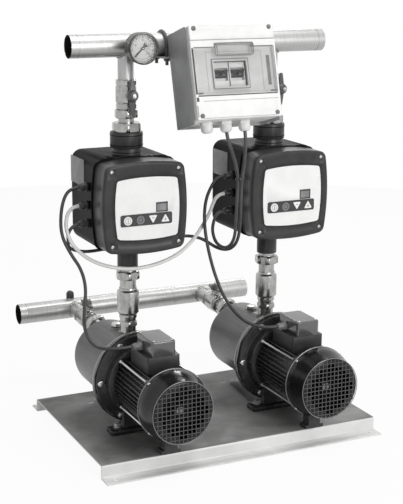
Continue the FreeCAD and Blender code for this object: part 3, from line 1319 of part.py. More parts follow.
def panel_gland_mouth(x):
    return gland_mouth(panel_place().multVec(vec(x, panel_gland_y(), 0)), panel_down())


def panel_down():
    return FreeCAD.Rotation(RIGHT, -PANEL_TILT).multVec(DOWN)


def panel_screws():
    """The cover's four corner screws and the window's two hinge pins."""
    screws = [on_panel(rod(SCREW_R, vec(x, 0.6, z), REAR, 3.4)) for x, z in panel_screw_places()]
    y, z = window_hinge()
    reach = WINDOW_HALF_WIDTH + 4
    for side in (-1, 1):
        ends = sorted((side * reach, side * (WINDOW_HALF_WIDTH - 12)))
        screws.append(on_panel(rod(WINDOW_PIN_R, vec(ends[0], y, z), RIGHT, ends[1] - ends[0])))
    return screws


def shelf_z():
    """The top of the bracket's shelf, just under the discharge manifold."""
    return DISCHARGE_Z - MANIFOLD_R


def panel_bracket():
    """Folded sheet: a back plate with a cheek on each side and a shelf under the manifold at each clamp."""
    half, sheet = PANEL_WIDTH / 2, BRACKET_SHEET
    back = box((-half - sheet, half + sheet), (PANEL_DEPTH, PANEL_DEPTH + sheet), (-6, PANEL_HEIGHT))
    cheeks = [box(sorted((s * half, s * (half + sheet))), (PANEL_COVER, PANEL_DEPTH), (-6, PANEL_HEIGHT))
              for s in (-1, 1)]
    frame = on_panel(fused([back] + cheeks))
    shelves = []
    rear = DISCHARGE_Y + MANIFOLD_R + 16
    front = DISCHARGE_Y - MANIFOLD_R - 22
    for x in u_bolt_places():
        width = (x - BRACKET_SHELF_WIDTH / 2, x + BRACKET_SHELF_WIDTH / 2)
        shelf = box(width, (front, rear), (shelf_z() - sheet, shelf_z()))
        legs = [rod(U_BOLT_R, vec(x, y, shelf_z() - sheet), UP, sheet) for y in u_bolt_legs()]
        shelves.append(shelf.cut(legs))
    trim = on_panel(box((-half - 40, half + 40), (-60, PANEL_DEPTH), (-6, PANEL_HEIGHT)))
    shelves = [shelf.cut(trim) for shelf in shelves]
    return fused([frame] + shelves)


def u_bolt_places():
    return (PANEL_X - U_BOLT_OFFSET, PANEL_X + U_BOLT_OFFSET)


def u_bolt_legs():
    reach = MANIFOLD_R + U_BOLT_R
    return (DISCHARGE_Y - reach, DISCHARGE_Y + reach)


def u_bolt(x):
    """A round bar bent over the manifold, with a nut on each leg under the shelf."""
    reach = MANIFOLD_R + U_BOLT_R
    near, far = u_bolt_legs()
    path = Part.Wire([Part.LineSegment(vec(x, near, U_BOLT_LEG_BOTTOM), vec(x, near, DISCHARGE_Z)).toShape(),
                      Part.Arc(vec(x, near, DISCHARGE_Z), vec(x, DISCHARGE_Y, DISCHARGE_Z + reach),
                               vec(x, far, DISCHARGE_Z)).toShape(),
                      Part.LineSegment(vec(x, far, DISCHARGE_Z), vec(x, far, U_BOLT_LEG_BOTTOM)).toShape()])
    section = Part.Wire(Part.Circle(vec(x, near, U_BOLT_LEG_BOTTOM), UP, U_BOLT_R).toShape())
    pieces = [path.makePipeShell([section], True, False)]
    top = shelf_z() - BRACKET_SHEET
    for y in (near, far):
        start = vec(x, y, top - U_BOLT_NUT)
        nut = hexagon(U_BOLT_NUT_AF, start, UP, U_BOLT_NUT)
        pieces.append(nut.cut(rod(U_BOLT_R, start, UP, U_BOLT_NUT)))
    return pieces


def point(vector):
    return (vector.x, vector.y, vector.z)


def gland_exit(mouth, run, angles):
    """A lead's first points: straight out of a gland that faces left, then bending down by steps."""
    points = [point(mouth), (mouth.x - run, mouth.y, mouth.z)]
    for angle in angles:
        x, y, z = points[-1]
        points.append((x - run * math.cos(math.radians(angle)), y, z - run * math.sin(math.radians(angle))))
    return points


def left_motor_lead():
    """From the left controller's upper gland, out past the barrel and forward to the terminal box."""
    start = gland_mouth(controller_gland_starts("left")[0], LEFT)
    end = gland_mouth(terminal_gland_start("left"), LEFT)
    return cord([point(start), (start.x - 22, start.y, start.z), (-313, 18, 546), (-324, 14, 510),
                 (-326, 8, 464), (-309, 0, 424), (-288, -8, 390), (-281, -16, 350), (-291, -30, 310),
                 (-300, -50, 278), (-301, -78, 254), (-290, -104, 243), (-266, -120, end.z),
                 (end.x - 22, end.y, end.z), point(end)], LEAD_R)


def right_motor_lead():
    """From the right controller's upper gland, down between the pumps to the right terminal box."""
    start = gland_mouth(controller_gland_starts("right")[0], LEFT)
    end = gland_mouth(terminal_gland_start("right"), LEFT)
    return cord([point(start), (start.x - 22, start.y, start.z), (31, 18, 545), (11, 12, 511), (3, 1, 462),
                 (6, -14, 405), (17, -30, 345), (31, -52, 296), (50, -80, 262), (76, -106, 245),
                 (end.x - 22, end.y, end.z), point(end)], LEAD_R)


def signal_lead():
    """Between the middle glands of the two controllers, hanging in front of the left riser."""
    first = gland_exit(gland_mouth(controller_gland_starts("left")[1], LEFT), SIGNAL_BEND_RUN, (30, 60))
    last = gland_exit(gland_mouth(controller_gland_starts("right")[1], LEFT), SIGNAL_BEND_RUN, (30, 60))
    return cord(first + [(-314, 12, 474), (-305, -4, 441), (-276, -24, 412), (-234, -40, 395),
                         (-180, -48, 388), (-124, -46, 394), (-70, -32, 408), (-24, -6, 430), (8, 14, 457),
                         (26, 18, 482)] + last[::-1], SIGNAL_R)


def right_supply_lead():
    """From the panel's middle gland, down beside the right controller and up to its lower gland."""
    start = panel_gland_mouth(PANEL_GLAND_X[1])
    last = gland_exit(gland_mouth(controller_gland_starts("right")[2], LEFT), LEAD_BEND_RUN, (30, 60))
    return cord([point(start), point(start.add(panel_down() * 20)), (6, -126, 642), (22, -116, 608),
                 (33, -104, TIE_Z), (36, -94, 530), (40, -82, 478), (45, -66, 434), (40, -38, 408),
                 (29, -8, 414), (27, 10, 440)] + last[::-1], LEAD_R)


def left_supply_lead():
    """From the panel's third gland, down beside the other lead, then behind the left riser to its gland."""
    start = panel_gland_mouth(PANEL_GLAND_X[2])
    last = gland_exit(gland_mouth(controller_gland_starts("left")[2], LEFT), LEAD_BEND_RUN, (30, 60, 90))
    return cord([point(start), point(start.add(panel_down() * 20)), (39, -124, 642), (42, -114, 608),
                 (41.5, -104, TIE_Z), (45, -94, 530), (51, -82, 478), (56, -62, 430), (50, -34, 404),
                 (34, -2, 402), (8, 24, 424), (-30, 40, 430), (-74, 52, 421), (-132, 62, 414),
                 (-190, 64, 412), (-246, 54, 410), (-280, 40, 418), (-303, 30, 430)] + last[::-1], LEAD_R)


def cable_tie():
    """The strap that holds the two supply leads together below the panel, with its lock."""
    centres = [vec(x, TIE_Y, TIE_Z - TIE_HEIGHT / 2) for x in TIE_X]
    inner, outer = LEAD_R + TIE_GAP, LEAD_R + TIE_GAP + TIE_THICKNESS
    loops = []
    for radius in (inner, outer):
        ends = [rod(radius, centre, UP, TIE_HEIGHT) for centre in centres]
        middle = box(TIE_X, (TIE_Y - radius, TIE_Y + radius), (centres[0].z, centres[0].z + TIE_HEIGHT))
        loops.append(fused(ends + [middle]))
    lock = box((TIE_X[0], TIE_X[0] + 5), (TIE_Y - outer - 3, TIE_Y - inner - 0.2),
               (centres[0].z - 0.5, centres[0].z + TIE_HEIGHT + 0.5))
    return fused([loops[1].cut(loops[0]), lock])


def group(pieces):
    return Part.makeCompound(pieces)


def both(maker):
    """One solid or list of solids from each pump's side, as a single group."""
    pieces = []
    for x0 in PUMP_X.values():
        made = maker(x0)
        pieces += made if isinstance(made, list) else [made]
    return group(pieces)


def build_nodes():
    nodes = {
        "base_plate": base_plate(),
        "foot_bolts": both(foot_bolts),
        "discharge_manifold": group(discharge_manifold()),
        "suction_manifold": group(suction_manifold()),
        "pipe_plugs": group(plugs()),
        "gauge_case": gauge_case(),
        "gauge_dial": gauge_dial(),
        "gauge_needle": gauge_needle(),
        "gauge_glass": gauge_glass(),
        "panel_bracket": panel_bracket(),
        "pipe_clamps": group([piece for x in u_bolt_places() for piece in u_bolt(x)]),
        "panel_box": panel_box(),
        "panel_cover": panel_cover(),
        "panel_window": panel_window(),
        "pump_barrels": both(pump_barrel),
        "casing_rings": both(casing_ring),
        "motor_adapters": both(adapter),
        "motor_frames": both(motor_frame),
        "motor_fasteners": both(motor_fasteners),
        "fan_covers": both(fan_cover),
        "stators": both(stator),
        "diffusers": both(diffusers),
        "bearings_and_seals": both(bearings_and_seal),
        "terminal_boxes": both(terminal_box),
        "terminal_lids": both(terminal_lid),
        "controller_bodies": both(controller_body),
        "controller_covers": both(controller_cover),
        "controller_labels": both(label_panel),
        "check_valve_bodies": both(check_valve),
        "pipe_unions": both(unions),
        "left_motor_lead": left_motor_lead(),
        "right_motor_lead": right_motor_lead(),
        "left_supply_lead": left_supply_lead(),
        "right_supply_lead": right_supply_lead(),
        "signal_lead": signal_lead(),
        "cable_tie": cable_tie(),
    }
    nodes["cover_screws"] = group([both(cover_screws)] + panel_screws())
    breakers = breaker_places()
    nodes["breaker_bodies"] = group([breaker_body(x) for x in breakers.values()])
    for side, x in breakers.items():
        nodes[side + "_breaker_toggle"] = breaker_toggle(x)
    glands = [panel_gland(x) for x in PANEL_GLAND_X]
    for side in PUMP_X:
        glands += [gland(start, LEFT, GLAND_AF, GLAND_DOME_R) for start in controller_gland_starts(side)]
        glands.append(gland(terminal_gland_start(side), LEFT, GLAND_AF, GLAND_DOME_R))
    nodes["cable_glands"] = group(glands)
    bodies = []
    for side, x0 in PUMP_X.items():
        nodes[side + "_rotor"] = group([rotor(x0)] + impellers(x0))
        nodes[side + "_cooling_fan"] = cooling_fan(x0)
        nodes[side + "_check_poppet"] = check_poppet(x0)
        for index, key in enumerate(KEYS):
            nodes[side + "_" + key[0] + "_key"] = controller_key(x0, index)
        for line, place in (("discharge", discharge_valve_place), ("suction", suction_valve_place)):
            turned = [set_at(valve_handle(), place(side)), set_at(valve_ball(), place(side))]
            nodes[side + "_" + line + "_valve_handle"] = group(turned)
            bodies.append(set_at(valve_body(), place(side)))
    nodes["ball_valve_bodies"] = group(bodies)
    return nodes


def main():
    os.makedirs("parts", exist_ok=True)
    nodes = build_nodes()
    for name, shape in sorted(nodes.items()):
        count = len(shape.Solids)
        print("%-30s solids %2d volume %10.0f valid %s" % (name, count, shape.Volume, shape.isValid()))
        shape.exportStep("parts/" + name + ".step")
    print("nodes", len(nodes))


main()
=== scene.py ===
# %% [markdown]
# # A twin booster pump set, dressed for its photograph
# Two horizontal pumps stand on a folded steel plate. Each lifts water through a check valve and a speed
# controller to the upper manifold, and a small supply panel hangs from that manifold in front.
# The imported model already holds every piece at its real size. This lesson gives the pieces their
# finishes, breaks their edges, and adds what is too fine for the solid model: welds, ribs, printed
# marks and the scale of the gauge.

# %% Load the frame
import json
import math

import bmesh
import bpy
from mathutils import Matrix, Vector

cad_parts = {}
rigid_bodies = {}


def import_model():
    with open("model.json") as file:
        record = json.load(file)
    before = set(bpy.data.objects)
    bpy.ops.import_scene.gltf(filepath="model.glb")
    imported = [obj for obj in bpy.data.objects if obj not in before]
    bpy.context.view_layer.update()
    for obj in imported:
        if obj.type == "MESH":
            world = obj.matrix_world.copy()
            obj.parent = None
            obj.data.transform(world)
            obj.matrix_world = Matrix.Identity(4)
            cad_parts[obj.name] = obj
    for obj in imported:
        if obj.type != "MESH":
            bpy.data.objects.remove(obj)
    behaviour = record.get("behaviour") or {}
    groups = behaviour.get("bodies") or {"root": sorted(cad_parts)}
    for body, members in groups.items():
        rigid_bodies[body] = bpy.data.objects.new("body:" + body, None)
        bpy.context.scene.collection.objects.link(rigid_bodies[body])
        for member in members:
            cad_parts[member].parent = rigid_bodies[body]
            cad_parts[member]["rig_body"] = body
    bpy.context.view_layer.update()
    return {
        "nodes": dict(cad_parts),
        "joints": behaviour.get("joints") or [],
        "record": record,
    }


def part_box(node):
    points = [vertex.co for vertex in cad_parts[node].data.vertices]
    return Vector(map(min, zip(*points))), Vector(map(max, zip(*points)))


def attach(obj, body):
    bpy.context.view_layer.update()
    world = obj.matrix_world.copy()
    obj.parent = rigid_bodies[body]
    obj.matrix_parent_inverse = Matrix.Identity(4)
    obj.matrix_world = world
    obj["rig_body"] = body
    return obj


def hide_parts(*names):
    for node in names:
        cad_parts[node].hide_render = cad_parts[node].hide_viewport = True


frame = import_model()

# %% [markdown]
# ## Places that many pieces share
# The set is laid out on a few lines: two pumps side by side, two straight pipes across them, and a panel
# that leans back a little. The record's joints and mounts tell where the shafts, pipes and gauge are.
# Blender works in metres, but the sizes of a machine are given in millimetres, so they are written that
# way and scaled where they are used.

# %% Shared places, in millimetres
MM = 0.001
JOINTS = {joint["name"]: joint for joint in frame["joints"]}
MOUNTS = {mount["name"]: mount for mount in frame["record"]["mounts"]}


def place_of(entry):
    """Where a joint or a mount of the record lies, in millimetres."""
    return [round(v / MM, 3) for v in entry["pos_m"]]


SIDES = tuple((side, place_of(JOINTS[side + "_rotor_spin"])[0]) for side in ("left", "right"))
PUMP_XS = tuple(x0 for _, x0 in SIDES)
SHAFT_Z = place_of(JOINTS["left_rotor_spin"])[2]
MANIFOLD_R = MOUNTS["discharge_left_end"]["dims"]["r_mm"]
STUB_R, BARREL_R = 16.85, 79.0
DISCHARGE_Y, DISCHARGE_Z = place_of(MOUNTS["discharge_left_end"])[1:]
SUCTION_Y, SUCTION_Z = place_of(MOUNTS["suction_left_end"])[1:]
BOSS_X = -178.0
GAUGE_X, NEEDLE_Y, GAUGE_Z = place_of(JOINTS["gauge_needle_turn"])
DIAL_Y = NEEDLE_Y + 1.0
STRIP_HIGH = 0.8
LABEL_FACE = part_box("controller_labels")[0].y / MM + STRIP_HIGH
VALVES = [f"{side}_{line}_valve" for side, _ in SIDES for line in ("discharge", "suction")]
DISPLAY_X, DISPLAY_Z = 35.0, 527.5
DISPLAY_HALF_X, DISPLAY_HALF_Z = 12.5, 9.5
PANEL_PLACE = Vector((9.0, -161.5, 714.0)) * MM
PANEL_LEAN = math.radians(15)
FRONT, REAR, UP, DOWN = (0, -1, 0), (0, 1, 0), (0, 0, 1), (0, 0, -1)
print("pumps at x", PUMP_XS, "panel at", [round(v, 4) for v in PANEL_PLACE])

# %% [markdown]
# ## The camera
# The photographer stood to the left of the set and a little above it. The view is fixed by five
# numbers that were fitted to the edges of the plate, the pipes and the panel: two angles, a slight
# roll, the distance and the lens. The camera looks along its own -Z, so its three axes make its turn.

# %% Place the camera
CAMERA_AZIMUTH = math.radians(-25.31)
CAMERA_ELEVATION = math.radians(13.67)
CAMERA_ROLL = math.radians(0.25)
CAMERA_DISTANCE = 2.72716
CAMERA_TARGET = Vector((-0.00319, 0.0, 0.39732))
LENS_MM = 87.85
SENSOR_MM = 36.0


def camera_axes(azimuth, elevation, roll):
    """The camera's right, up and back directions."""
    back = Vector((math.sin(azimuth) * math.cos(elevation), -math.cos(azimuth) * math.cos(elevation),
                   math.sin(elevation)))
    level = Vector((math.cos(azimuth), math.sin(azimuth), 0.0))
    upright = back.cross(level)
    right = level * math.cos(roll) + upright * math.sin(roll)
    return right, back.cross(right), back


right, up, back = camera_axes(CAMERA_AZIMUTH, CAMERA_ELEVATION, CAMERA_ROLL)
lens = bpy.data.cameras.new("photo_camera")
lens.lens = LENS_MM
lens.sensor_width = SENSOR_MM
camera = bpy.data.objects.new("photo_camera", lens)
bpy.context.scene.collection.objects.link(camera)
camera.matrix_world = Matrix.Translation(CAMERA_TARGET + back * CAMERA_DISTANCE) @ Matrix(
    (right, up, back)).transposed().to_4x4()
bpy.context.scene.camera = camera
print("camera at", [round(v, 3) for v in camera.matrix_world.translation])

# %% [markdown]
# ## Colours and nodes
# Every finish below starts from one shader. A hex colour is written as it looks on a screen, and
# the shader wants linear light, so one function turns one into the other. A second adds a node with
# its settings and its links.

# %% Helpers for materials
NOISE_LOW, NOISE_HIGH = 0.35, 0.65


def linear(hex_colour):
    """An sRGB hex colour as the linear values that a shader takes."""
    parts = [int(hex_colour[i:i + 2], 16) / 255 for i in (1, 3, 5)]
    return [p / 12.92 if p <= 0.04045 else ((p + 0.055) / 1.055) ** 2.4 for p in parts] + [1.0]


def add_node(tree, kind, settings=(), inputs=()):
    """Add a shader node. Inputs are (socket, value) pairs, where a value may be another node's output."""
    made = tree.nodes.new("ShaderNode" + kind)
    for name, value in settings:
        setattr(made, name, value)
    for name, value in inputs:
        if isinstance(value, bpy.types.NodeSocket):
            tree.links.new(value, made.inputs[name])
        else:
            made.inputs[name].default_value = value
    return made


def coat(name, colour, roughness, metallic=0.0, constants=()):
    """A material with its constant values set on the shader. Returns it with its tree, shader and place."""
    material = bpy.data.materials.new(name)
    material.use_nodes = True
    tree = material.node_tree
    shader = tree.nodes["Principled BSDF"]
    for socket, value in (("Base Color", linear(colour)), ("Roughness", roughness),
                          ("Metallic", metallic)) + tuple(constants):
        shader.inputs[socket].default_value = value
    place = add_node(tree, "TexCoord").outputs["Object"]
    return material, tree, shader, place


def cloudy(tree, place, patch_mm, stretch=(1, 1, 1), detail=3.0):
    """A soft noise, from 0 to 1, whose patches have about this real size, stretched along an axis."""
    mapped = add_node(tree, "Mapping", inputs=[("Vector", place), ("Scale", stretch)])
    return add_node(tree, "TexNoise", inputs=[("Vector", mapped.outputs[0]), ("Scale", 1 / (patch_mm * MM)),
                                              ("Detail", detail)]).outputs["Fac"]


def vary_colour(tree, shader, factor, dark, light):
    """Let a noise move the base colour between two hex colours, over the noise's usual range."""
    ramp = add_node(tree, "ValToRGB", inputs=[("Fac", factor)])
    for stop, position, colour in zip(ramp.color_ramp.elements, (NOISE_LOW, NOISE_HIGH), (dark, light)):
        stop.position = position
        stop.color = linear(colour)
    tree.links.new(ramp.outputs["Color"], shader.inputs["Base Color"])


def vary_roughness(tree, shader, factor, low, high):
    """Let a noise move the roughness between two values."""
    spread = add_node(tree, "MapRange", inputs=[("Value", factor), ("To Min", low), ("To Max", high)])
    tree.links.new(spread.outputs[0], shader.inputs["Roughness"])


def raise_grain(tree, shader, factor, height_mm):
    """Use a noise as the height of a fine relief."""
    bump = add_node(tree, "Bump", inputs=[("Height", factor), ("Distance", height_mm * MM)])
    tree.links.new(bump.outputs[0], shader.inputs["Normal"])


print("one shader per finish, built by", coat.__name__)

# %% [markdown]
# ## Bare and plated metals
# The barrels are deep-drawn stainless sheet, which keeps a silky, slightly uneven sheen. The manifolds
# are welded pipe, brushed round the pipe. The fittings are nickel-plated brass, smoother and brighter.
# Metals keep the default IOR, so their colour and roughness alone tell them apart. The true lines of
# brushing and turning are some 0.1 mm wide, too fine for this view, so they are drawn ten times coarser.

# %% Metals
# How far each kind of working stretches its marks along X, Y and Z.
ROLLED, DRAWN, GROUND = (0.06, 1, 1), (1, 0.06, 1), (1, 0.1, 1)
BRUSHED, TURNED = (1, 0.08, 0.08), (0.05, 0.05, 1)


def finish(name, colour, roughness, metallic=0.0, constants=(), tones=None, gleam=None, relief=None):
    """A material whose colour, gloss and relief may each follow a noise.

    Tones are two colours and a noise, gleam is two roughnesses and a noise, and relief is a height in
    millimetres and a noise. A noise is what cloudy takes: the size of its patches and their stretch.
    """
    material, tree, shader, place = coat(name, colour, roughness, metallic, constants)
    if tones:
        vary_colour(tree, shader, cloudy(tree, place, *tones[2:]), *tones[:2])
    if gleam:
        vary_roughness(tree, shader, cloudy(tree, place, *gleam[2:]), *gleam[:2])
    if relief:
        raise_grain(tree, shader, cloudy(tree, place, *relief[1:]), relief[0])
    return material


def rolled_steel(name, dark, light):
    """Cold-rolled plate, pickled: a flat grey with broad soft clouds and fine rolling lines along X."""
    return finish(name, light, 0.5, 0.15, [("Specular IOR Level", 0.2)], (dark, light, 90), (0.40, 0.56, 90),
                  (0.03, 3, ROLLED))


# One steel in two copies: the darker is painted shade on the top, the paler is painted light on the web and
# the flanges.
plate_top_steel = rolled_steel("rolled_steel_painted_shade_top", "#6c6c6b", "#9c9c9b")
plate_web_steel = rolled_steel("rolled_steel_painted_light_web", "#dcdcdb", "#ececeb")
# Stainless pipe, brushed round its girth: fine rings of tone along X.
pipe_steel = finish("brushed_stainless_pipe", "#adadab", 0.41, 0.78, gleam=(0.37, 0.46, 40),
                    tones=("#adadab", "#bababa", 2.5, BRUSHED), relief=(0.006, 2.5, BRUSHED))
# The bead of a weld and the heat-darkened steel beside it: rough, with a brown-grey bloom.
weld_steel = finish("heat_tinted_weld", "#8a8885", 0.48, 0.9, tones=("#5f5d5b", "#a5a3a0", 4),
                    relief=(0.25, 1.5))
# Deep-drawn sheet: silky, with faint draw lines along the axis of the barrel.
barrel_steel = finish("deep_drawn_stainless", "#565655", 0.36, 1.0, tones=("#525251", "#5b5b5b", 3, DRAWN),
                      gleam=(0.32, 0.42, 60), relief=(0.004, 3, DRAWN))
# Nickel on turned brass: bright, with turning marks at the size of a fine feed.
nickel = finish("nickel_plated_brass", "#a8a8a6", 0.26, 1.0, tones=("#9c9c9a", "#b2b2b0", 12),
                relief=(0.005, 1.2, TURNED))
# Bright zinc on fasteners: a faintly mottled, milky shine.
zinc = finish("bright_zinc_steel", "#c4c4c2", 0.30, 1.0, tones=("#adadab", "#d6d6d4", 1.5),
              gleam=(0.22, 0.42, 1.5))
# Ground shaft steel: a cold glint behind the grilles.
shaft_steel = finish("ground_shaft_steel", "#b0b0ae", 0.22, 1.0, gleam=(0.18, 0.30, 1, GROUND))
# Pressed and polished rims, darkened by a satin finish.
bezel_steel = finish("polished_bezel_steel", "#4e4e4d", 0.26, 1.0, gleam=(0.20, 0.34, 6))
ring_steel = finish("satin_clamp_ring_steel", "#7c7c7b", 0.26, 1.0, gleam=(0.20, 0.34, 6))
print("metals:", [m.name for m in bpy.data.materials])

# %% [markdown]
# ## Paint, plastics and rubber
# The motors are cast and sprayed with black enamel, which rounds every corner and shows a light
# orange peel. The controllers, covers and glands are moulded, with the fine spark-eroded texture of
# the mould. The true grain is near 0.1 mm, too fine for this view, so it is drawn several times coarser.

# %% Paints and plastics
EVEN, SOFT_DETAIL = (1, 1, 1), 2.0


def moulded(name, dark, light, roughness, grain_mm=1.0, height_mm=0.04, specular=0.5):
    """A mould-textured plastic: two close tones, an even roughness and a fine relief."""
    return finish(name, dark, roughness, constants=[("Specular IOR Level", specular)],
                  tones=(dark, light, 25), relief=(height_mm, grain_mm, EVEN, SOFT_DETAIL))


def clear_plastic(name, tint, alpha, roughness):
    """Clear polycarbonate, thin enough to show as a light veil over what is behind it."""
    return finish(name, tint, roughness, constants=[("Alpha", alpha), ("IOR", 1.58)], relief=(0.05, 40))


def sheath(name, dark, light):
    """Extruded PVC over a cable: matt and waxy, with slow changes of tone along its length."""
    return finish(name, dark, 0.42, tones=(dark, light, 18), relief=(0.05, 1.2))


# Sprayed enamel over cast iron: an uneven, half-gloss black with a light orange peel.
enamel = finish("black_enamel_on_casting", "#202021", 0.24, constants=[("Specular IOR Level", 0.35)],
                tones=("#303131", "#3e3e3f", 30), gleam=(0.20, 0.34, 15), relief=(0.05, 2.2))
# Powder coat on folded sheet: mid grey with a soft orange peel.
bracket_paint = finish("grey_powder_coat", "#9c9d9d", 0.45, tones=("#959696", "#a3a4a4", 50),
                       relief=(0.08, 1.8))

# The black shells. A coarse mould texture swallows the light on the bodies, the covers are a shade paler, and
# the lids shine as if wet. The lids, the rims of the fan covers and the ribs of their grilles are also
# painted paler greys: painted sheen and painted highlights.
body_plastic = moulded("black_glass_filled_nylon", "#131314", "#191a1a", 0.42, specular=0.02)
collar_plastic = moulded("black_collar_nylon", "#313132", "#3a3a3b", 0.38, specular=0.3)
# Painted sheen: the glossy lids are a mid grey, paler than the black boxes, for the light on their tops.
lid_plastic = moulded("glossy_black_abs_painted_sheen", "#505051", "#5a5a5b", 0.14, height_mm=0.01, specular=1.0)
cover_plastic = moulded("charcoal_abs", "#3b3b3c", "#424243", 0.34, specular=0.2)
fan_plastic = moulded("black_polypropylene", "#18181a", "#1e1e1f", 0.20, height_mm=0.02, specular=0.26)
# Painted sheen: the grille ribs are a paler grey for the light along the black bars.
wire_plastic = moulded("black_polypropylene_painted_rib_sheen", "#565657", "#626263", 0.30, specular=0.4)
# Painted highlight: the rolled rims of the fan covers are mid grey for the line of light along them.
lip_plastic = moulded("black_polypropylene_painted_rim_highlight", "#7d7d7e", "#89898a", 0.25)
gland_plastic = moulded("black_polyamide", "#262627", "#313132", 0.38)
inner_plastic = moulded("dark_polyphenylene_oxide", "#3a3a3b", "#434344", 0.5)
toggle_plastic = moulded("toggle_black_polyamide", "#262628", "#2f2f31", 0.4)

# The pale shells and glands: even and slightly satin, so that only their edges and lines show.
panel_plastic = moulded("light_grey_polycarbonate", "#ebebea", "#f1f1f0", 0.4)
breaker_plastic = moulded("breaker_grey_polyamide", "#cfcfce", "#dadad9", 0.42)
white_nylon = moulded("light_grey_polyamide", "#dededd", "#e8e8e7", 0.34)
# Painted highlight: the glands of the motor leads are a mid grey for the light they catch.
terminal_nylon = moulded("grey_polyamide_painted_highlight", "#6f6f70", "#7c7c7d", 0.36)
inner_panel = moulded("inner_grey_polycarbonate", "#c0c0bf", "#cacac9", 0.45)

# Films, rubber keys and inks: nearly flat and matt, so that a mark stays legible from the side.
label_film = moulded("printed_polyester_film", "#f1f1f0", "#f6f6f5", 0.5, height_mm=0.005)
strip_film = moulded("dark_printed_film", "#333335", "#39393b", 0.34, height_mm=0.01)
key_white = moulded("white_silicone", "#f2f2f1", "#f8f8f7", 0.45, height_mm=0.02)
key_dark = moulded("dark_silicone", "#767678", "#808082", 0.45, height_mm=0.02)
print_ink = moulded("dark_screen_ink", "#2b2b2d", "#313133", 0.5, height_mm=0.01)
mark_grey = moulded("grey_screen_ink", "#8c8c8c", "#979797", 0.5, height_mm=0.01)
print_grey = moulded("grey_panel_print", "#6a6a6b", "#757576", 0.5)
display_face = moulded("grey_lcd", "#8a8b8c", "#949596", 0.22, height_mm=0.005)
plate_foil = moulded("matt_aluminium_foil", "#8a8a8a", "#a4a4a4", 0.5, grain_mm=2.0)
# Painted shade: grey strips for the grooves of the cover and the border of the pocket.
groove_shade = moulded("painted_groove_shade", "#9c9c9b", "#a8a8a7", 0.5)
seal_rubber = moulded("dark_epdm_seal", "#39393a", "#454546", 0.55)

# Painted and lacquered metal, blackened steel, and the painted shade inside the open pipes: no mirror, only a
# broad soft gleam.
handle_paint = moulded("dark_grey_epoxy", "#4d4d4e", "#5a5a5b", 0.38, height_mm=0.06)
dial_enamel = moulded("white_dial_enamel", "#cfcfcd", "#d6d6d4", 0.3, height_mm=0.005)
needle_paint = moulded("black_pointer_lacquer", "#121213", "#19191a", 0.35, height_mm=0.005)
winding = moulded("varnished_laminations", "#5a5651", "#67625c", 0.5)
dark_zinc = moulded("blackened_zinc_steel", "#4a4a4a", "#5c5c5b", 0.32)
# Painted shade: the inside of the open pipes is this dark where the light hardly reaches.
bore_shade = moulded("painted_bore_shade", "#1d1d1d", "#2b2b2a", 0.7, specular=0.1)
screw_shade = moulded("dark_grey_screw", "#6b6b6b", "#7a7a79", 0.4)

# Clear parts: a thin veil with a hard gleam.
window_plastic = clear_plastic("clear_polycarbonate", "#e4e5e6", 0.03, 0.20)
# Painted shade: the grip is tinted grey for the shadow round the tab.
grip_plastic = clear_plastic("polycarbonate_painted_shade", "#6c6d6e", 0.55, 0.30)
gauge_glass = clear_plastic("gauge_glass", "#f4f6f6", 0.05, 0.04)

black_sheath = sheath("black_pvc_sheath", "#262627", "#343436")
grey_sheath = sheath("grey_pvc_sheath", "#3f3f41", "#4d4d50")
white_sheath = sheath("white_pvc_sheath", "#e4e4e2", "#eeeeec")
print("materials made:", len(bpy.data.materials))

# %% [markdown]
# ## Floor, backdrop and light
# A product is photographed on a white sweep, so that nothing else shows. The world is white where the
# camera, a reflection or a view through glass meets it, and softer where it only lights. The floor is a
# pale matt disc that also looks white to the camera, but keeps a faint shadow.

# %% Floor
FLOOR_R = 3.0
FLOOR_GLOW = 0.94


def straight_rays(tree):
    """1 for rays that should meet a white background: from the camera, off gloss and through glass."""
    path = add_node(tree, "LightPath")
    seen = add_node(tree, "Math", [("operation", "MAXIMUM")],
                    [(0, path.outputs["Is Camera Ray"]), (1, path.outputs["Is Glossy Ray"])])
    both = add_node(tree, "Math", [("operation", "MAXIMUM")],
                    [(0, seen.outputs[0]), (1, path.outputs["Is Transmission Ray"])])
    return both.outputs[0]


def floor_paper():
    """Matt white background paper: mostly even white to the eye, with the shadows of a real sheet."""
    material, tree, shader, place = coat("white_background_paper", "#e9e9e9", 0.9)
    vary_colour(tree, shader, cloudy(tree, place, 300), "#e6e6e6", "#ececec")
    glow = add_node(tree, "Emission", inputs=[("Color", (1, 1, 1, 1)), ("Strength", 1.0)])
    share = add_node(tree, "Math", [("operation", "MULTIPLY")], [(0, straight_rays(tree)), (1, FLOOR_GLOW)])
    mixed = add_node(tree, "MixShader", inputs=[(0, share.outputs[0]), (1, shader.outputs[0]),
                                                (2, glow.outputs[0])])
    tree.links.new(mixed.outputs[0], tree.nodes["Material Output"].inputs["Surface"])
    return material


disc = bmesh.new()
bmesh.ops.create_circle(disc, cap_ends=True, segments=96, radius=FLOOR_R)
floor_mesh = bpy.data.meshes.new("floor")
disc.to_mesh(floor_mesh)
disc.free()
floor_mesh.materials.append(floor_paper())
floor = bpy.data.objects.new("floor", floor_mesh)
bpy.context.scene.collection.objects.link(floor)
print("floor radius", FLOOR_R)

# %% [markdown]
# Two large lamps, in front and above, give even tones, and a small one behind draws a bright line along
# the rims. In their light a colour renders about as it is written.

# %% World and lamps
WORLD_LIGHT = 0.30
LAMPS = (
    ("key_softbox", (0.5, -2.6, 1.25), (0, 0, 0.3), 1.1, 36),
    ("top_softbox", (0.2, -0.1, 2.6), (0, 0, 0.3), 1.2, 24),
    ("rear_softbox", (1.25, 2.2, 1.9), (0, 0, 0.2), 0.5, 12))


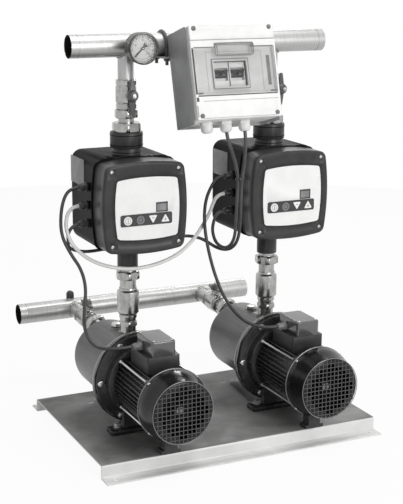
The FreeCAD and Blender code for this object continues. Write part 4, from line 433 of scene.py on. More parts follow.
def studio_world():
    """A world that is white to the eye and gives a weaker light."""
    world = bpy.data.worlds.new("white_studio")
    world.use_nodes = True
    tree = world.node_tree
    background = tree.nodes["Background"]
    background.inputs["Color"].default_value = (1, 1, 1, 1)
    level = add_node(tree, "MapRange", inputs=[("Value", straight_rays(tree)), ("To Min", WORLD_LIGHT),
                                               ("To Max", 1.0)])
    tree.links.new(level.outputs[0], background.inputs["Strength"])
    bpy.context.scene.world = world


def soft_lamp(name, place, target, size, watts):
    """A square area lamp that faces a point of the set."""
    light = bpy.data.lights.new(name, "AREA")
    light.size = size
    light.energy = watts
    lamp = bpy.data.objects.new(name, light)
    bpy.context.scene.collection.objects.link(lamp)
    aim = (Vector(target) - Vector(place)).to_track_quat("-Z", "Y")
    lamp.matrix_world = Matrix.Translation(place) @ aim.to_matrix().to_4x4()
    print(name, "of", watts, "W")


studio_world()
for lamp_row in LAMPS:
    soft_lamp(*lamp_row)
bpy.context.scene.view_settings.view_transform = "Standard"

# %% [markdown]
# ## The cables
# Two black motor leads, two grey supply leads and a white signal lead hang between the glands. Each is a
# round tube on one smooth curve: a NURBS spline of order 3 takes the route's points as its control
# points, so the cable bends as evenly as a real one. The order and the end points are set last,
# because the spline needs its points first.

# %% Routes of the cables
LEFT_MOTOR_ROUTE = (
    (-0.2735, 0.020, 0.5605), (-0.2955, 0.020, 0.5605), (-0.313, 0.018, 0.546), (-0.324, 0.014, 0.510),
    (-0.326, 0.008, 0.464), (-0.309, 0.000, 0.424), (-0.288, -0.008, 0.390), (-0.281, -0.016, 0.350),
    (-0.291, -0.030, 0.310), (-0.300, -0.050, 0.278), (-0.301, -0.078, 0.254), (-0.290, -0.104, 0.243),
    (-0.266, -0.120, 0.243), (-0.2345, -0.125, 0.243), (-0.2125, -0.125, 0.243))
RIGHT_MOTOR_ROUTE = (
    (0.0695, 0.020, 0.5605), (0.0475, 0.020, 0.5605), (0.031, 0.018, 0.545), (0.011, 0.012, 0.511),
    (0.003, 0.001, 0.462), (0.006, -0.014, 0.405), (0.017, -0.030, 0.345), (0.031, -0.052, 0.296),
    (0.050, -0.080, 0.262), (0.076, -0.106, 0.245), (0.1085, -0.125, 0.243), (0.1305, -0.125, 0.243))
SIGNAL_ROUTE = (
    (-0.2735, 0.020, 0.521), (-0.2885, 0.020, 0.521), (-0.30149, 0.020, 0.5135), (-0.30899, 0.020, 0.50051),
    (-0.314, 0.012, 0.474), (-0.305, -0.004, 0.441), (-0.276, -0.024, 0.412), (-0.234, -0.040, 0.395),
    (-0.180, -0.048, 0.388), (-0.124, -0.046, 0.394), (-0.070, -0.032, 0.408), (-0.024, -0.006, 0.430),
    (0.008, 0.014, 0.457), (0.026, 0.018, 0.482), (0.03401, 0.020, 0.50051), (0.04151, 0.020, 0.5135),
    (0.0545, 0.020, 0.521), (0.0695, 0.020, 0.521))
RIGHT_SUPPLY_ROUTE = (
    (-0.006, -0.1226, 0.6891), (-0.006, -0.1278, 0.6698), (0.006, -0.126, 0.642), (0.022, -0.116, 0.608),
    (0.033, -0.104, 0.576), (0.036, -0.094, 0.530), (0.040, -0.082, 0.478), (0.045, -0.066, 0.434),
    (0.040, -0.038, 0.408), (0.029, -0.008, 0.414), (0.027, 0.010, 0.440), (0.03638, 0.020, 0.46238),
    (0.04338, 0.020, 0.4745), (0.0555, 0.020, 0.4815), (0.0695, 0.020, 0.4815))
LEFT_SUPPLY_ROUTE = (
    (0.037, -0.1226, 0.6891), (0.037, -0.1278, 0.6698), (0.039, -0.124, 0.642), (0.042, -0.114, 0.608),
    (0.0415, -0.104, 0.576), (0.045, -0.094, 0.530), (0.051, -0.082, 0.478), (0.056, -0.062, 0.430),
    (0.050, -0.034, 0.404), (0.034, -0.002, 0.402), (0.008, 0.024, 0.424), (-0.030, 0.040, 0.430),
    (-0.074, 0.052, 0.421), (-0.132, 0.062, 0.414), (-0.190, 0.064, 0.412), (-0.246, 0.054, 0.410),
    (-0.280, 0.040, 0.418), (-0.303, 0.030, 0.430), (-0.30662, 0.020, 0.44838), (-0.30662, 0.020, 0.46238),
    (-0.29962, 0.020, 0.4745), (-0.2875, 0.020, 0.4815), (-0.2735, 0.020, 0.4815))
LEAD_R = 3.6 * MM
SIGNAL_R = 4.0 * MM
print("points of the longest route:", len(LEFT_SUPPLY_ROUTE))


# %% Hang the cables
def cable(lead, route, radius, material):
    """A round cable on one smooth spline, from gland to gland, in place of a lead of the solid model."""
    name = lead + "_cable"
    curve = bpy.data.curves.new(name, "CURVE")
    curve.dimensions = "3D"
    curve.bevel_depth = radius
    curve.bevel_resolution = 5
    curve.resolution_u = 10
    curve.use_fill_caps = True
    spline = curve.splines.new("NURBS")
    spline.points.add(len(route) - 1)
    for point, place in zip(spline.points, route):
        point.co = (*place, 1.0)
    spline.order_u = 3
    spline.use_endpoint_u = True
    curve.materials.append(material)
    made = bpy.data.objects.new(name, curve)
    bpy.context.scene.collection.objects.link(made)
    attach(made, "frame")
    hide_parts(lead + "_lead")
    print(name, "with", len(route), "points")


cable("left_motor", LEFT_MOTOR_ROUTE, LEAD_R, black_sheath)
cable("right_motor", RIGHT_MOTOR_ROUTE, LEAD_R, black_sheath)
cable("signal", SIGNAL_ROUTE, SIGNAL_R, white_sheath)
cable("left_supply", LEFT_SUPPLY_ROUTE, LEAD_R, grey_sheath)
cable("right_supply", RIGHT_SUPPLY_ROUTE, LEAD_R, grey_sheath)

# %% [markdown]
# ## Dressing the solids
# A solid model is made of loose triangles with hard edges. A copy of each is merged, its flat faces are
# joined, smooth shading is kept on round faces, and a small bevel breaks the edges, because it
# is the bright line along a rounded edge that tells the eye that a thing is real.

# %% Helpers that dress a solid
MERGE = 2e-6
SMOOTH_UNDER = math.radians(32)
FLAT_UNDER = math.radians(0.4)


def finish_piece(name, bm, material, body, bevel_mm=0.0):
    """Turn a bmesh into a shaded object that rides on a body. A tuple of materials gives it several."""
    mesh = bpy.data.meshes.new(name)
    bm.to_mesh(mesh)
    bm.free()
    mesh.polygons.foreach_set("use_smooth", [True] * len(mesh.polygons))
    for single in material if isinstance(material, tuple) else (material,):
        mesh.materials.append(single)
    made = bpy.data.objects.new(name, mesh)
    bpy.context.scene.collection.objects.link(made)
    if bevel_mm:
        bevel = made.modifiers.new("broken_edges", "BEVEL")
        bevel.width = bevel_mm * MM
        bevel.segments = 2
        bevel.limit_method = "ANGLE"
        bevel.angle_limit = SMOOTH_UNDER
        bevel.use_clamp_overlap = False
        bevel.harden_normals = True
    else:
        mesh.set_sharp_from_angle(angle=SMOOTH_UNDER)
    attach(made, body)
    print(name, "with", len(mesh.polygons), "faces")
    return made


def solids_of(bm):
    """The separate closed solids of a merged mesh, as lists of faces."""
    left = set(bm.faces)
    found = []
    while left:
        seed = left.pop()
        group, front = [seed], [seed]
        while front:
            for neighbour in (f for e in front.pop().edges for f in e.link_faces if f in left):
                left.discard(neighbour)
                group.append(neighbour)
                front.append(neighbour)
        found.append(group)
    return found


def middle_of(faces):
    """The middle of the box round some faces."""
    corners = [v.co for f in faces for v in f.verts]
    low = Vector(map(min, zip(*corners)))
    high = Vector(map(max, zip(*corners)))
    return (low + high) / 2


def dress(node, material, bevel_mm=0.0, keep=None, name=None, paint=None, flatten=True):
    """A merged, smooth copy of a CAD node, or of those of its solids that pass a test, in place of it.

    The test gets the middle of a solid. Where the piece has several materials, paint gives the material's
    number for the middle of a face.
    """
    bm = bmesh.new()
    bm.from_mesh(frame["nodes"][node].data)
    bmesh.ops.remove_doubles(bm, verts=bm.verts, dist=MERGE)
    if keep:
        spare = [f for solid in solids_of(bm) if not keep(middle_of(solid)) for f in solid]
        bmesh.ops.delete(bm, geom=spare, context="FACES")
    if flatten:
        bmesh.ops.dissolve_limit(bm, angle_limit=FLAT_UNDER, verts=bm.verts, edges=bm.edges)
    if paint:
        for face in bm.faces:
            face.material_index = paint(face.calc_center_median())
    made = finish_piece(name or "dressed_" + node, bm, material, frame["nodes"][node]["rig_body"],
                        bevel_mm)
    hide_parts(node)


print("edges under", round(math.degrees(SMOOTH_UNDER)), "degrees stay smooth")

# %% [markdown]
# The bevels are small on thin or machined pieces and larger on castings and mouldings, whose edges leave
# the mould rounded.

# %% Dress the solids
for node, material, slot, bevel_mm in (
        ("foot_bolts", zinc, "zinc_steel", 0.3),
        ("panel_bracket", bracket_paint, "bracket_grey", 0.5),
        ("pipe_clamps", dark_zinc, "zinc_steel", 0.3),
        ("panel_box", panel_plastic, "panel_grey", 0.8),
        ("pump_barrels", barrel_steel, "barrel_steel", 0.6),
        ("casing_rings", ring_steel, "zinc_steel", 0.6),
        ("motor_adapters", enamel, "black_cast", 1.0),
        ("motor_frames", enamel, "black_cast", 0.5),
        ("motor_fasteners", zinc, "zinc_steel", 0.3),
        ("terminal_boxes", collar_plastic, "black_plastic", 1.0),
        ("terminal_lids", lid_plastic, "black_plastic", 0.8),
        ("check_valve_bodies", nickel, "nickel_brass", 0.4),
        ("ball_valve_bodies", nickel, "nickel_brass", 0.5),
        ("cable_tie", gland_plastic, "tie_black", 0.2),
        ("breaker_bodies", breaker_plastic, "breaker_grey", 0.5),
        ("left_breaker_toggle", toggle_plastic, "toggle_black", 0.3),
        ("right_breaker_toggle", toggle_plastic, "toggle_black", 0.3),
        ("gauge_dial", dial_enamel, "gauge_dial", 0.0),
        ("gauge_glass", gauge_glass, "glass", 0.3)):
    dress(node, material, bevel_mm)
for valve in VALVES:
    dress(valve + "_handle", handle_paint, 0.8)

# %% [markdown]
# The controllers' covers and the union nuts keep their triangles: their faces curve into each other so
# gently that joining them would leave crooked corners, and their edges are rounded in the solid already.

# %% Covers and nuts
dress("controller_covers", cover_plastic, flatten=False)
dress("pipe_unions", nickel, flatten=False)

# %% [markdown]
# ## Pieces of two finishes
# One node can hold plastic and metal, or black paint and a bare rim. Its solids are sorted by where their
# middles are, or the faces of one solid get a second material by where they are.

# %% Tests for the second finish
NEAR_MM = 0.1
DISPLAY_DEPTH = 0.8
BORE_R = MANIFOLD_R - 1.25
PLATE_TOP = max(v.co.z for v in frame["nodes"]["base_plate"].data.vertices)
PLATE_SKIN = 1.2
BODY_LOW, BODY_HIGH = 427.0, 626.5
POCKET_HALF_WIDTH, POCKET_LOW, POCKET_HIGH, POCKET_DEPTH = 91.0, 50.0, 147.0, 5.0
BEZEL_BACK = -59.6


def in_panel(place):
    """A place in the panel's own frame in millimetres, with Z up along its front."""
    return Matrix.Rotation(PANEL_LEAN, 3, "X") @ (place - PANEL_PLACE) / MM


def label_finish(place):
    """The raised key strip is dark, the floor of the display is grey, and the rest is pale film."""
    x, y, z = place / MM
    if y < LABEL_FACE - NEAR_MM / 2:
        return 1
    x0 = PUMP_XS[0] if x < 0 else PUMP_XS[1]
    in_display = (abs(x - x0 - DISPLAY_X) < DISPLAY_HALF_X + NEAR_MM
                  and abs(z - DISPLAY_Z) < DISPLAY_HALF_Z + NEAR_MM)
    if in_display and y > LABEL_FACE + NEAR_MM:
        return 2 if abs(y - LABEL_FACE - DISPLAY_DEPTH) < NEAR_MM / 2 else 1
    return 0


def bore_finish(place):
    """Inside the open pipes the steel is dark, because the light hardly reaches it."""
    y, z = place.yz / MM
    return int(any(math.hypot(y - axis_y, z - axis_z) < BORE_R
                   for axis_y, axis_z in ((DISCHARGE_Y, DISCHARGE_Z), (SUCTION_Y, SUCTION_Z))))


def plate_finish(place):
    """The web and the flanges get the paler copy, painted light, and the top the darker copy, painted shade.
    """
    return int(place.z < PLATE_TOP - PLATE_SKIN * MM)


def body_finish(place):
    """The collar above a controller's body and the neck below it are turned from a greyer nylon."""
    return int(not BODY_LOW < place.z / MM < BODY_HIGH)


def panel_finish(place):
    """The floor of the window's pocket is a darker grey than the cover."""
    x, y, z = in_panel(place)
    return int(y > POCKET_DEPTH and abs(x) < POCKET_HALF_WIDTH and POCKET_LOW < z < POCKET_HIGH)


def gauge_finish(place):
    """The bezel ring in front is bare steel and the case behind it is black."""
    return int(place.y / MM < BEZEL_BACK)


def grip_finish(place):
    """The grip that stands out from the window is tinted grey, painted shade for the shadow round it, and the
    pane is clear.
    """
    return int(in_panel(place).y < -NEAR_MM)


print("plate top at", round(PLATE_TOP, 4), "m")

# %% Two finishes
PANEL_ABOVE, REAR_BEHIND, TERMINALS_BELOW, CONTROLLERS_BELOW = 0.65, 0.2, 0.3, 0.62
dress("controller_labels", (label_film, strip_film, display_face), paint=label_finish)
dress("gauge_case", (enamel, bezel_steel), 0.3, paint=gauge_finish)
dress("base_plate", (plate_top_steel, plate_web_steel), 0.5, paint=plate_finish)
dress("controller_bodies", (body_plastic, collar_plastic), 0.9, paint=body_finish)
dress("panel_cover", (panel_plastic, inner_panel), 0.6, paint=panel_finish)
dress("fan_covers", fan_plastic)
for line in ("discharge", "suction"):
    dress(line + "_manifold", (pipe_steel, bore_shade), paint=bore_finish)
dress("cover_screws", zinc, keep=lambda middle: middle.z < PANEL_ABOVE,
      name="controller_screws", flatten=False)
dress("cover_screws", screw_shade, keep=lambda middle: middle.z > PANEL_ABOVE,
      name="panel_screws", flatten=False)
dress("pipe_plugs", zinc, 0.4, keep=lambda middle: middle.y < REAR_BEHIND,
      name="priming_plugs")
dress("pipe_plugs", gland_plastic, keep=lambda middle: middle.y > REAR_BEHIND,
      name="boss_cap", flatten=False)
dress("cable_glands", gland_plastic, 0.3,
      keep=lambda middle: TERMINALS_BELOW < middle.z < CONTROLLERS_BELOW, name="black_glands")
dress("cable_glands", terminal_nylon, 0.3, keep=lambda middle: middle.z < TERMINALS_BELOW,
      name="terminal_glands")
dress("panel_window", (window_plastic, grip_plastic), 0.5, paint=grip_finish)

# %% [markdown]
# ## Helpers for the small pieces
# Welds, ribs, ticks and marks are each a few vertices that one operator spins or extrudes. A shape
# is made about the origin with its axis along Z, and a matrix then carries it to its place.

# %% Small shapes
def tidied(bm):
    """Merge the seam of a spun shape and turn its faces outwards."""
    bmesh.ops.remove_doubles(bm, verts=bm.verts, dist=MERGE)
    bmesh.ops.recalc_face_normals(bm, faces=bm.faces)
    return bm


def softened(bm, edge_mm):
    """Round every edge of a shape a little."""
    bmesh.ops.bevel(bm, geom=bm.edges[:], offset=edge_mm * MM, segments=2, profile=0.5, affect="EDGES",
                    material=-1)
    return bm


def lathe(profile_mm, steps=48):
    """Spin an outline of (radius, height) points round Z."""
    bm = bmesh.new()
    corners = [bm.verts.new((radius * MM, 0, height * MM)) for radius, height in profile_mm]
    sides = [bm.edges.new(pair) for pair in zip(corners, corners[1:])]
    bmesh.ops.spin(bm, geom=corners + sides, cent=(0, 0, 0), axis=(0, 0, 1), steps=steps, angle=2 * math.pi,
                   use_merge=True)
    return tidied(bm)


def ring(major_mm, minor_mm, steps=64):
    """A round ring of round section, flat in XY."""
    bm = bmesh.new()
    section = Matrix.Translation((major_mm * MM, 0, 0)) @ Matrix.Rotation(math.pi / 2, 4, "X")
    bmesh.ops.create_circle(bm, segments=8, radius=minor_mm * MM, matrix=section)
    bmesh.ops.spin(bm, geom=bm.verts[:] + bm.edges[:], cent=(0, 0, 0), axis=(0, 0, 1), steps=steps,
                   angle=2 * math.pi, use_merge=True)
    return tidied(bm)


def slab(x_mm, y_mm, z_mm, edge_mm=0.1):
    """A thin plate with softened edges, from three (low, high) pairs."""
    bm = bmesh.new()
    spans = (x_mm, y_mm, z_mm)
    middle = [(low + high) / 2 * MM for low, high in spans]
    size = [(high - low) * MM for low, high in spans]
    bmesh.ops.create_cube(bm, size=1, matrix=Matrix.Translation(middle) @ Matrix.Diagonal((*size, 1)))
    return softened(bm, edge_mm)


def hexagon_bar(radius_mm, height_mm, edge_mm):
    """An upright hexagon, as a nut has. Its first corner points to +Y."""
    bm = bmesh.new()
    bmesh.ops.create_circle(bm, cap_ends=True, segments=6, radius=radius_mm * MM)
    raised = bmesh.ops.extrude_face_region(bm, geom=bm.faces[:])["geom"]
    bmesh.ops.translate(bm, verts=[v for v in raised if isinstance(v, bmesh.types.BMVert)],
                        vec=(0, 0, height_mm * MM))
    bmesh.ops.recalc_face_normals(bm, faces=bm.faces)
    return softened(bm, edge_mm)


def at(place_mm, out, along=(1, 0, 0)):
    """The matrix that turns Z to a direction, with X near another, at a place in millimetres."""
    z_axis = Vector(out).normalized()
    x_axis = (Vector(along) - z_axis * z_axis.dot(Vector(along))).normalized()
    axes = Matrix((x_axis, z_axis.cross(x_axis), z_axis)).transposed().to_4x4()
    return Matrix.Translation(Vector(place_mm) * MM) @ axes


def gather(shapes):
    """Several (shape, matrix) pairs as one mesh."""
    whole = bmesh.new()
    for shape, matrix in shapes:
        bmesh.ops.transform(shape, matrix=matrix, verts=shape.verts)
        holder = bpy.data.meshes.new("holder")
        shape.to_mesh(holder)
        shape.free()
        whole.from_mesh(holder)
        bpy.data.meshes.remove(holder)
    return whole


STILL = Matrix.Identity(4)
print("helpers ready:", lathe.__name__, ring.__name__, slab.__name__)

# %% [markdown]
# ## Welds on the pipes
# Each stub is welded to its manifold, and each port to its barrel. A weld is a ring of small overlapping
# ripples that follows the curved joint, so a plain ring is bent down over the pipe, vertex by vertex, and
# a fine wave round it makes the ripples.

# %% Weld beads
RIPPLE = 0.12
SOCKET_R, BOSS_R, PORT_R, PLUG_BOSS_R, PLUG_Y = 9.0, 8.0, 21.5, 14.0, 90.0


def weld_bead(branch_mm, pipe_mm, bead_mm):
    """A rippled ring round a branch, bent over a pipe that lies along X with its axis through the origin."""
    bm = ring(branch_mm + bead_mm * 0.4, bead_mm, steps=96)
    for vert in bm.verts:
        turn = math.atan2(vert.co.y, vert.co.x)
        ripple = RIPPLE * bead_mm * MM * math.sin(turn * round(branch_mm * 2))
        vert.co.z += math.sqrt((pipe_mm * MM) ** 2 - vert.co.y ** 2) + ripple
    return bm


pipe_welds = [(weld_bead(SOCKET_R, MANIFOLD_R, 1.6), at((GAUGE_X, DISCHARGE_Y, GAUGE_Z), FRONT)),
              (weld_bead(BOSS_R, MANIFOLD_R, 1.6), at((BOSS_X, SUCTION_Y, SUCTION_Z), UP))]
port_welds = []
for x0 in PUMP_XS:
    pipe_welds.append((weld_bead(STUB_R, MANIFOLD_R, 2.4), at((x0, DISCHARGE_Y, DISCHARGE_Z), DOWN)))
    pipe_welds.append((weld_bead(STUB_R, MANIFOLD_R, 2.4), at((x0, SUCTION_Y, SUCTION_Z), FRONT)))
    port_welds.append((weld_bead(PORT_R, BARREL_R, 1.6), at((x0, DISCHARGE_Y, SHAFT_Z), UP, REAR)))
    port_welds.append((weld_bead(PLUG_BOSS_R, BARREL_R, 1.2), at((x0, PLUG_Y, SHAFT_Z), UP, REAR)))
finish_piece("manifold_weld_beads", gather(pipe_welds), weld_steel, "frame")
finish_piece("barrel_weld_beads", gather(port_welds), weld_steel, "frame")

# %% [markdown]
# ## The gauge's scale
# A pressure gauge's pointer sweeps three quarters of a turn. The scale has a fine line round it, a tick
# for each half unit, a longer and thicker one for each second unit, and a number at every fourth.
# Real print is thinner: this is drawn coarse enough to show in the view.

# %% Ticks and numbers
SCALE_START, SCALE_SWEEP, SCALE_END, TICKS = 225, 270, 16, 32
SCALE_R, INNER_LINE_R, NUMBER_R, NUMBER_SIZE = 27.0, 22.0, 16.4, 7.5


def scale_angle(value):
    """Where a value lies on the scale, as a turn about the gauge's axis."""
    return math.radians(SCALE_START - SCALE_SWEEP * value / SCALE_END)


def number_shape(value):
    """A number as a thin mesh in the plane XY."""
    letters = bpy.data.curves.new("number", "FONT")
    letters.body = str(value)
    letters.size = NUMBER_SIZE * MM
    letters.align_x = "CENTER"
    letters.align_y = "CENTER"
    letters.extrude = 0.06 * MM
    holder = bpy.data.objects.new("number", letters)
    bpy.context.scene.collection.objects.link(holder)
    flat = bpy.data.meshes.new_from_object(holder.evaluated_get(bpy.context.evaluated_depsgraph_get()))
    shape = bmesh.new()
    shape.from_mesh(flat)
    bpy.data.objects.remove(holder)
    return shape


dial_place = at((GAUGE_X, DIAL_Y, GAUGE_Z), FRONT)
marks = [(ring(SCALE_R, 0.3), dial_place), (ring(INNER_LINE_R, 0.25), dial_place)]
for tick in range(TICKS + 1):
    inner, width = (24.0, 0.8) if tick % 4 else (21.5, 1.5)
    bar = slab((inner, SCALE_R), (-width / 2, width / 2), (0, 0.12), 0.03)
    marks.append((bar, dial_place @ Matrix.Rotation(scale_angle(tick * SCALE_END / TICKS), 4, "Z")))
for value in range(0, SCALE_END + 1, 4):
    angle = scale_angle(value)
    out = Vector((math.cos(angle), math.sin(angle), 0)) * NUMBER_R * MM
    marks.append((number_shape(value), dial_place @ Matrix.Translation(out)))
finish_piece("gauge_scale", gather(marks), print_ink, "frame")

# %% [markdown]
# The pointer of the solid model is as slim as a real one and would vanish at this size. A copy of it
# is made wider across its own length, beyond the hub, and it rides on the needle's body.

# %% The pointer
NEEDLE_WIDER = 3.6
NEEDLE_HUB_R = 3.6
bm = bmesh.new()
bm.from_mesh(frame["nodes"]["gauge_needle"].data)
bmesh.ops.remove_doubles(bm, verts=bm.verts, dist=MERGE)
axis_point = Vector((GAUGE_X * MM, 0, GAUGE_Z * MM))
along, across = Vector((-1, 0, -1)).normalized(), Vector((1, 0, -1)).normalized()
for vert in bm.verts:
    offset = vert.co - axis_point
    if abs(offset.dot(along)) > NEEDLE_HUB_R * MM:
        vert.co += across * offset.dot(across) * (NEEDLE_WIDER - 1)
made = finish_piece("gauge_pointer", bm, needle_paint, "gauge_needle", 0.1)
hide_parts("gauge_needle")

# %% [markdown]
# ## The marks on the keys
# The four keys start, stop, slow down and speed up the pump. Each has a raised print: a bar in a ring, a
# ring, a minus and a plus. A mark rides on its own key, because it moves when the key is pressed.

# %% Key marks
STROKE, CROSS, PRINT_HIGH, PRINT_EDGE = (-0.8, 0.8), (-2.6, 2.6), 0.15, 0.04


def key_mark(side, key, rise, shapes, material=mark_grey):
    """A print on a key's face, this far above its middle, from shapes that lie flat in XY."""
    low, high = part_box(f"{side}_{key}_key")
    place = at(((low.x + high.x) / 2 / MM, low.y / MM, (low.z + high.z) / 2 / MM + rise), FRONT)
    finish_piece(f"{side}_{key}_mark", gather([(shape, place) for shape in shapes]), material,
                 f"{side}_{key}_key")


for side, _ in SIDES:
    key_mark(side, "down", 2.6, [slab(CROSS, STROKE, (0, PRINT_HIGH), PRINT_EDGE)])
    key_mark(side, "up", -2.4, [slab(CROSS, STROKE, (0, PRINT_HIGH), PRINT_EDGE),
                                slab(STROKE, CROSS, (0, PRINT_HIGH + 0.01), PRINT_EDGE)])
    key_mark(side, "start", 0, [slab(STROKE, (-4.0, 4.0), (0, PRINT_HIGH), PRINT_EDGE), ring(5.8, 0.5)])
    key_mark(side, "stop", 0, [ring(4.6, 0.6)], print_ink)

# %% [markdown]
# ## Details of the supply panel
# The window sits in a seal, which shows as a dark line along three sides and a wider one on the left.
# Shallow grooves run across the cover, and the pocket behind the window has a border and a dark strip of
# print. The grooves and the border are drawn as grey strips: painted shade, where a groove or a step would
# hold shade. All lie in the plane of the panel's tilted front, so they are made flat and one matrix tilts
# them.

# %% Seal, grooves and print
panel_tilt = Matrix.Translation(PANEL_PLACE) @ Matrix.Rotation(-PANEL_LEAN, 4, "X")
ON_COVER, IN_COVER, ON_POCKET, ON_COLLAR = (-0.15, 0.4), (-0.1, 0.3), (8.8, 9.2), (5.8, 6.2)
for name, material, slot, spans in (
        ("window_seal", seal_rubber, "toggle_black",
         [((-95.4, -91.4), ON_COVER, (52, 146)), ((-91, -45), ON_COVER, (146.4, 148.0)),
          ((45, 91), ON_COVER, (146.4, 148.0)), ((-91, 91), ON_COVER, (47.6, 49.8)),
          ((91.2, 92.4), ON_COVER, (50, 146)), ((-95, -90), (-0.6, 0.4), (37.5, 46.0))]),
        ("panel_lines", groove_shade, "bracket_grey",
         [((-96.4, 96.4), (0.35, 0.8), (161.4, 162.9)), ((-80, 92), IN_COVER, (37.4, 38.6)),
          ((-95.6, -93.2), (-0.1, 0.4), (6, 29)), ((-84, 84), IN_COVER, (2.6, 3.8)),
          ((-62, 66), ON_POCKET, (138, 139.4)), ((-62, -60.6), ON_POCKET, (58, 138)),
          ((64.6, 66), ON_POCKET, (58, 138))]),
        ("inner_panel_print", print_grey, "toggle_black",
         [((76.3, 84.3), ON_POCKET, (67, 129)), ((-49.6, 31.6), ON_COLLAR, (123, 124.4)),
          ((-49.6, 31.6), ON_COLLAR, (61.8, 63)), ((-50.6, -49.2), ON_COLLAR, (62, 124)),
          ((31.2, 32.6), ON_COLLAR, (62, 124))])):
    finish_piece(name, gather([(slab(*span), panel_tilt) for span in spans]), material, "frame")

# %% [markdown]
# ## Ribbed glands under the panel
# The three glands under the panel are pale nylon with ribs for the fingers. A round outline
# is spun in an even number of steps, and every second line of vertices is then pulled out a little.

# %% Panel glands
GLAND_STEPS = 40
RIBS_BEYOND, RIB_SWELL = 10.9, 1.06
GLAND_Y = 44.0
GLANDS = ((-59.0, True), (-15.0, False), (28.0, False))


def ribbed_gland(closed):
    """A gland for the panel: a hexagon and a ribbed nut that narrows to the lead, or to a blind tip."""
    mouth = [(0, 21.5)] if closed else [(4.3, 22.5), (4.3, 16.0)]
    nut = lathe([(0, 5.5), (11.0, 5.5), (11.6, 7.0), (11.6, 17.0), (9.6, 21.0), (7.2, 22.5)] + mouth,
                steps=GLAND_STEPS)
    for vert in nut.verts:
        turn = math.atan2(vert.co.y, vert.co.x) / (2 * math.pi) * GLAND_STEPS
        if vert.co.xy.length > RIBS_BEYOND * MM and round(turn) % 2:
            vert.co.xy *= RIB_SWELL
    return [nut, hexagon_bar(13.2, 6.0, 0.8)]


parts = [(shape, panel_tilt @ at((x, GLAND_Y, 0), DOWN))
         for x, closed in GLANDS for shape in ribbed_gland(closed)]
made = finish_piece("panel_glands", gather(parts), white_nylon, "frame")
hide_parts("cable_glands")

# %% [markdown]
# ## Plates, bands and frames
# A blank rating plate of foil is stuck to the side of each controller, raised bands run round its collar,
# and a dark frame of print closes its display.

# %% Plates, bands and frames
plates = [(slab((-259.9, -259.4), (44, 127), (556, 614), 0.2), STILL),
          (slab((83.1, 83.6), (49, 121), (550, 607), 0.2), STILL)]
finish_piece("blank_rating_plates", gather(plates), plate_foil, "frame")

BANDS = ((646, 34.9), (667, 34.9), (631, 30.9))
bands = [(ring(radius, 0.8), at((x0, DISCHARGE_Y, z), UP)) for x0 in PUMP_XS for z, radius in BANDS]
finish_piece("collar_bands", gather(bands), body_plastic, "frame")

bars = []
low, high = DISPLAY_Z - DISPLAY_HALF_Z, DISPLAY_Z + DISPLAY_HALF_Z
for x0 in PUMP_XS:
    left, right = x0 + DISPLAY_X - DISPLAY_HALF_X, x0 + DISPLAY_X + DISPLAY_HALF_X
    for span_x, span_z in (((left - 1, left + 1.6), (low - 1, high + 1)),
                           ((right - 1.6, right + 1), (low - 1, high + 1)),
                           ((left, right), (low - 1, low + 1.4)), ((left, right), (high - 2.6, high + 1))):
        bars.append((slab(span_x, (LABEL_FACE - 0.12, LABEL_FACE + 0.1), span_z, 0.03), STILL))
finish_piece("display_frames", gather(bars), strip_film, "frame")

# %% [markdown]
# ## Lips and ribs of the fan covers
# The rim of each fan cover is rolled over, front and back, and the rolled lips are painted mid grey: a
# painted highlight for the thin line of light along the rim. The moulded grille has a thin raised rib along
# the middle of each bar, painted paler as painted sheen, and the ribs are what the eye sees of the mesh.

# %% Lips and ribs
cover_front, cover_back = (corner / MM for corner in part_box("fan_covers"))
COVER_BACK_R, COVER_BACK_Y = cover_back.x - PUMP_XS[1], cover_back.y - 1.2
COVER_FRONT_R, COVER_FRONT_Y = 67.0, cover_front.y + 1.0
GRILLE_PITCH, GRILLE_FACE = 9.4, cover_front.y + 0.2
RIB_REACH, RIB_HALF, RIB_HIGH = 65.0, 0.6, 0.5
lips = [(ring(COVER_BACK_R, 1.5), at((x0, COVER_BACK_Y, SHAFT_Z), FRONT)) for x0 in PUMP_XS]
lips += [(ring(COVER_FRONT_R, 0.8), at((x0, COVER_FRONT_Y, SHAFT_Z), FRONT)) for x0 in PUMP_XS]
finish_piece("fan_cover_lips", gather(lips), lip_plastic, "frame")

ribs = []
for x0 in PUMP_XS:
    for offset in (step * GRILLE_PITCH for step in range(-6, 7)):
        reach = math.sqrt(RIB_REACH ** 2 - offset ** 2)
        for spin in (0.0, math.pi / 2):
            rib = slab((-reach, reach), (offset - RIB_HALF, offset + RIB_HALF), (0, RIB_HIGH), 0.15)
            ribs.append((rib, at((x0, GRILLE_FACE, SHAFT_Z), FRONT) @ Matrix.Rotation(spin, 4, "Z")))
finish_piece("grille_ribs", gather(ribs), wire_plastic, "frame")

# %% [markdown]
# ## Nuts and screws
# A nut holds the lever on each valve's stem, whose round tip stands above it, and both turn with the
# lever. The joint's axis is the stem's, and it points a little aside on the right discharge valve, which
# is screwed on askew. Small round-headed screws hold the lids of the terminal boxes and the fan covers.

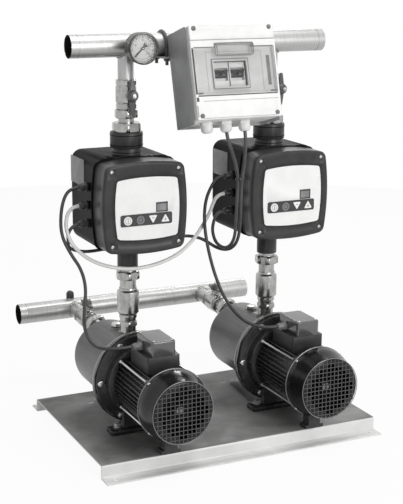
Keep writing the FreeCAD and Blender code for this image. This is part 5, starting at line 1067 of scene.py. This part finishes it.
# %% Nuts on the stems
STEM_REACH = 46.8
for valve in VALVES:
    turn = JOINTS[valve + "_turn"]
    out = Vector(turn["axis"])
    place = at(Vector(place_of(turn)) + out * STEM_REACH, out)
    stack = (hexagon_bar(5.2, 4.0, 0.4), lathe([(0, 6.2), (2.2, 6.2), (2.6, 5.6), (2.6, 3.0)]))
    finish_piece(valve.replace("valve", "stem_nut"), gather([(shape, place) for shape in stack]), zinc,
                 valve)

# %% Screws
LID_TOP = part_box("terminal_lids")[1].z / MM
LID_SCREW_X, LID_SCREW_YS = 20, (-99, -171)
COVER_SCREW_Y = COVER_BACK_Y - 5.5


def pan_head(radius_mm):
    """A round screw head with a soft crown."""
    return lathe([(0, 2.0), (radius_mm * 0.5, 1.8), (radius_mm * 0.85, 1.2), (radius_mm, 0.5),
                  (radius_mm, -0.5), (0, -0.5)], steps=24)


heads = []
for x0 in PUMP_XS:
    heads += [(pan_head(3.0), at((x0 + way * LID_SCREW_X, y, LID_TOP), UP)) for way in (-1, 1)
              for y in LID_SCREW_YS]
    for angle in (math.radians(degrees) for degrees in (45, 135, 225, 315)):
        out = Vector((math.cos(angle), 0, math.sin(angle)))
        place = Vector((x0, COVER_SCREW_Y, SHAFT_Z)) + out * COVER_BACK_R
        heads.append((pan_head(3.2), at(place, out, FRONT)))
finish_piece("small_screws", gather(heads), zinc, "frame")

# %% [markdown]
# ## The pieces inside, and the keys
# Rotors, stators, seals and poppets are seen through a grille or not at all, so they keep the solid
# model's own mesh and only get a finish. So do the cooling fans and the keys, whose edges are round already.

# %% Finish the other pieces
def finish_plain(node, material):
    """Give a CAD node a finish and leave its mesh alone."""
    slots = frame["nodes"][node].data.materials
    slots.clear()
    slots.append(material)


for node, material in (("stators", winding), ("diffusers", inner_plastic),
                       ("bearings_and_seals", shaft_steel)):
    finish_plain(node, material)
for side, _ in SIDES:
    for piece, material in (("rotor", shaft_steel), ("cooling_fan", fan_plastic),
                            ("check_poppet", shaft_steel), ("start_key", key_white), ("stop_key", key_dark),
                            ("down_key", key_white), ("up_key", key_white)):
        finish_plain(f"{side}_{piece}", material)
print("finished the inner pieces and eight keys")
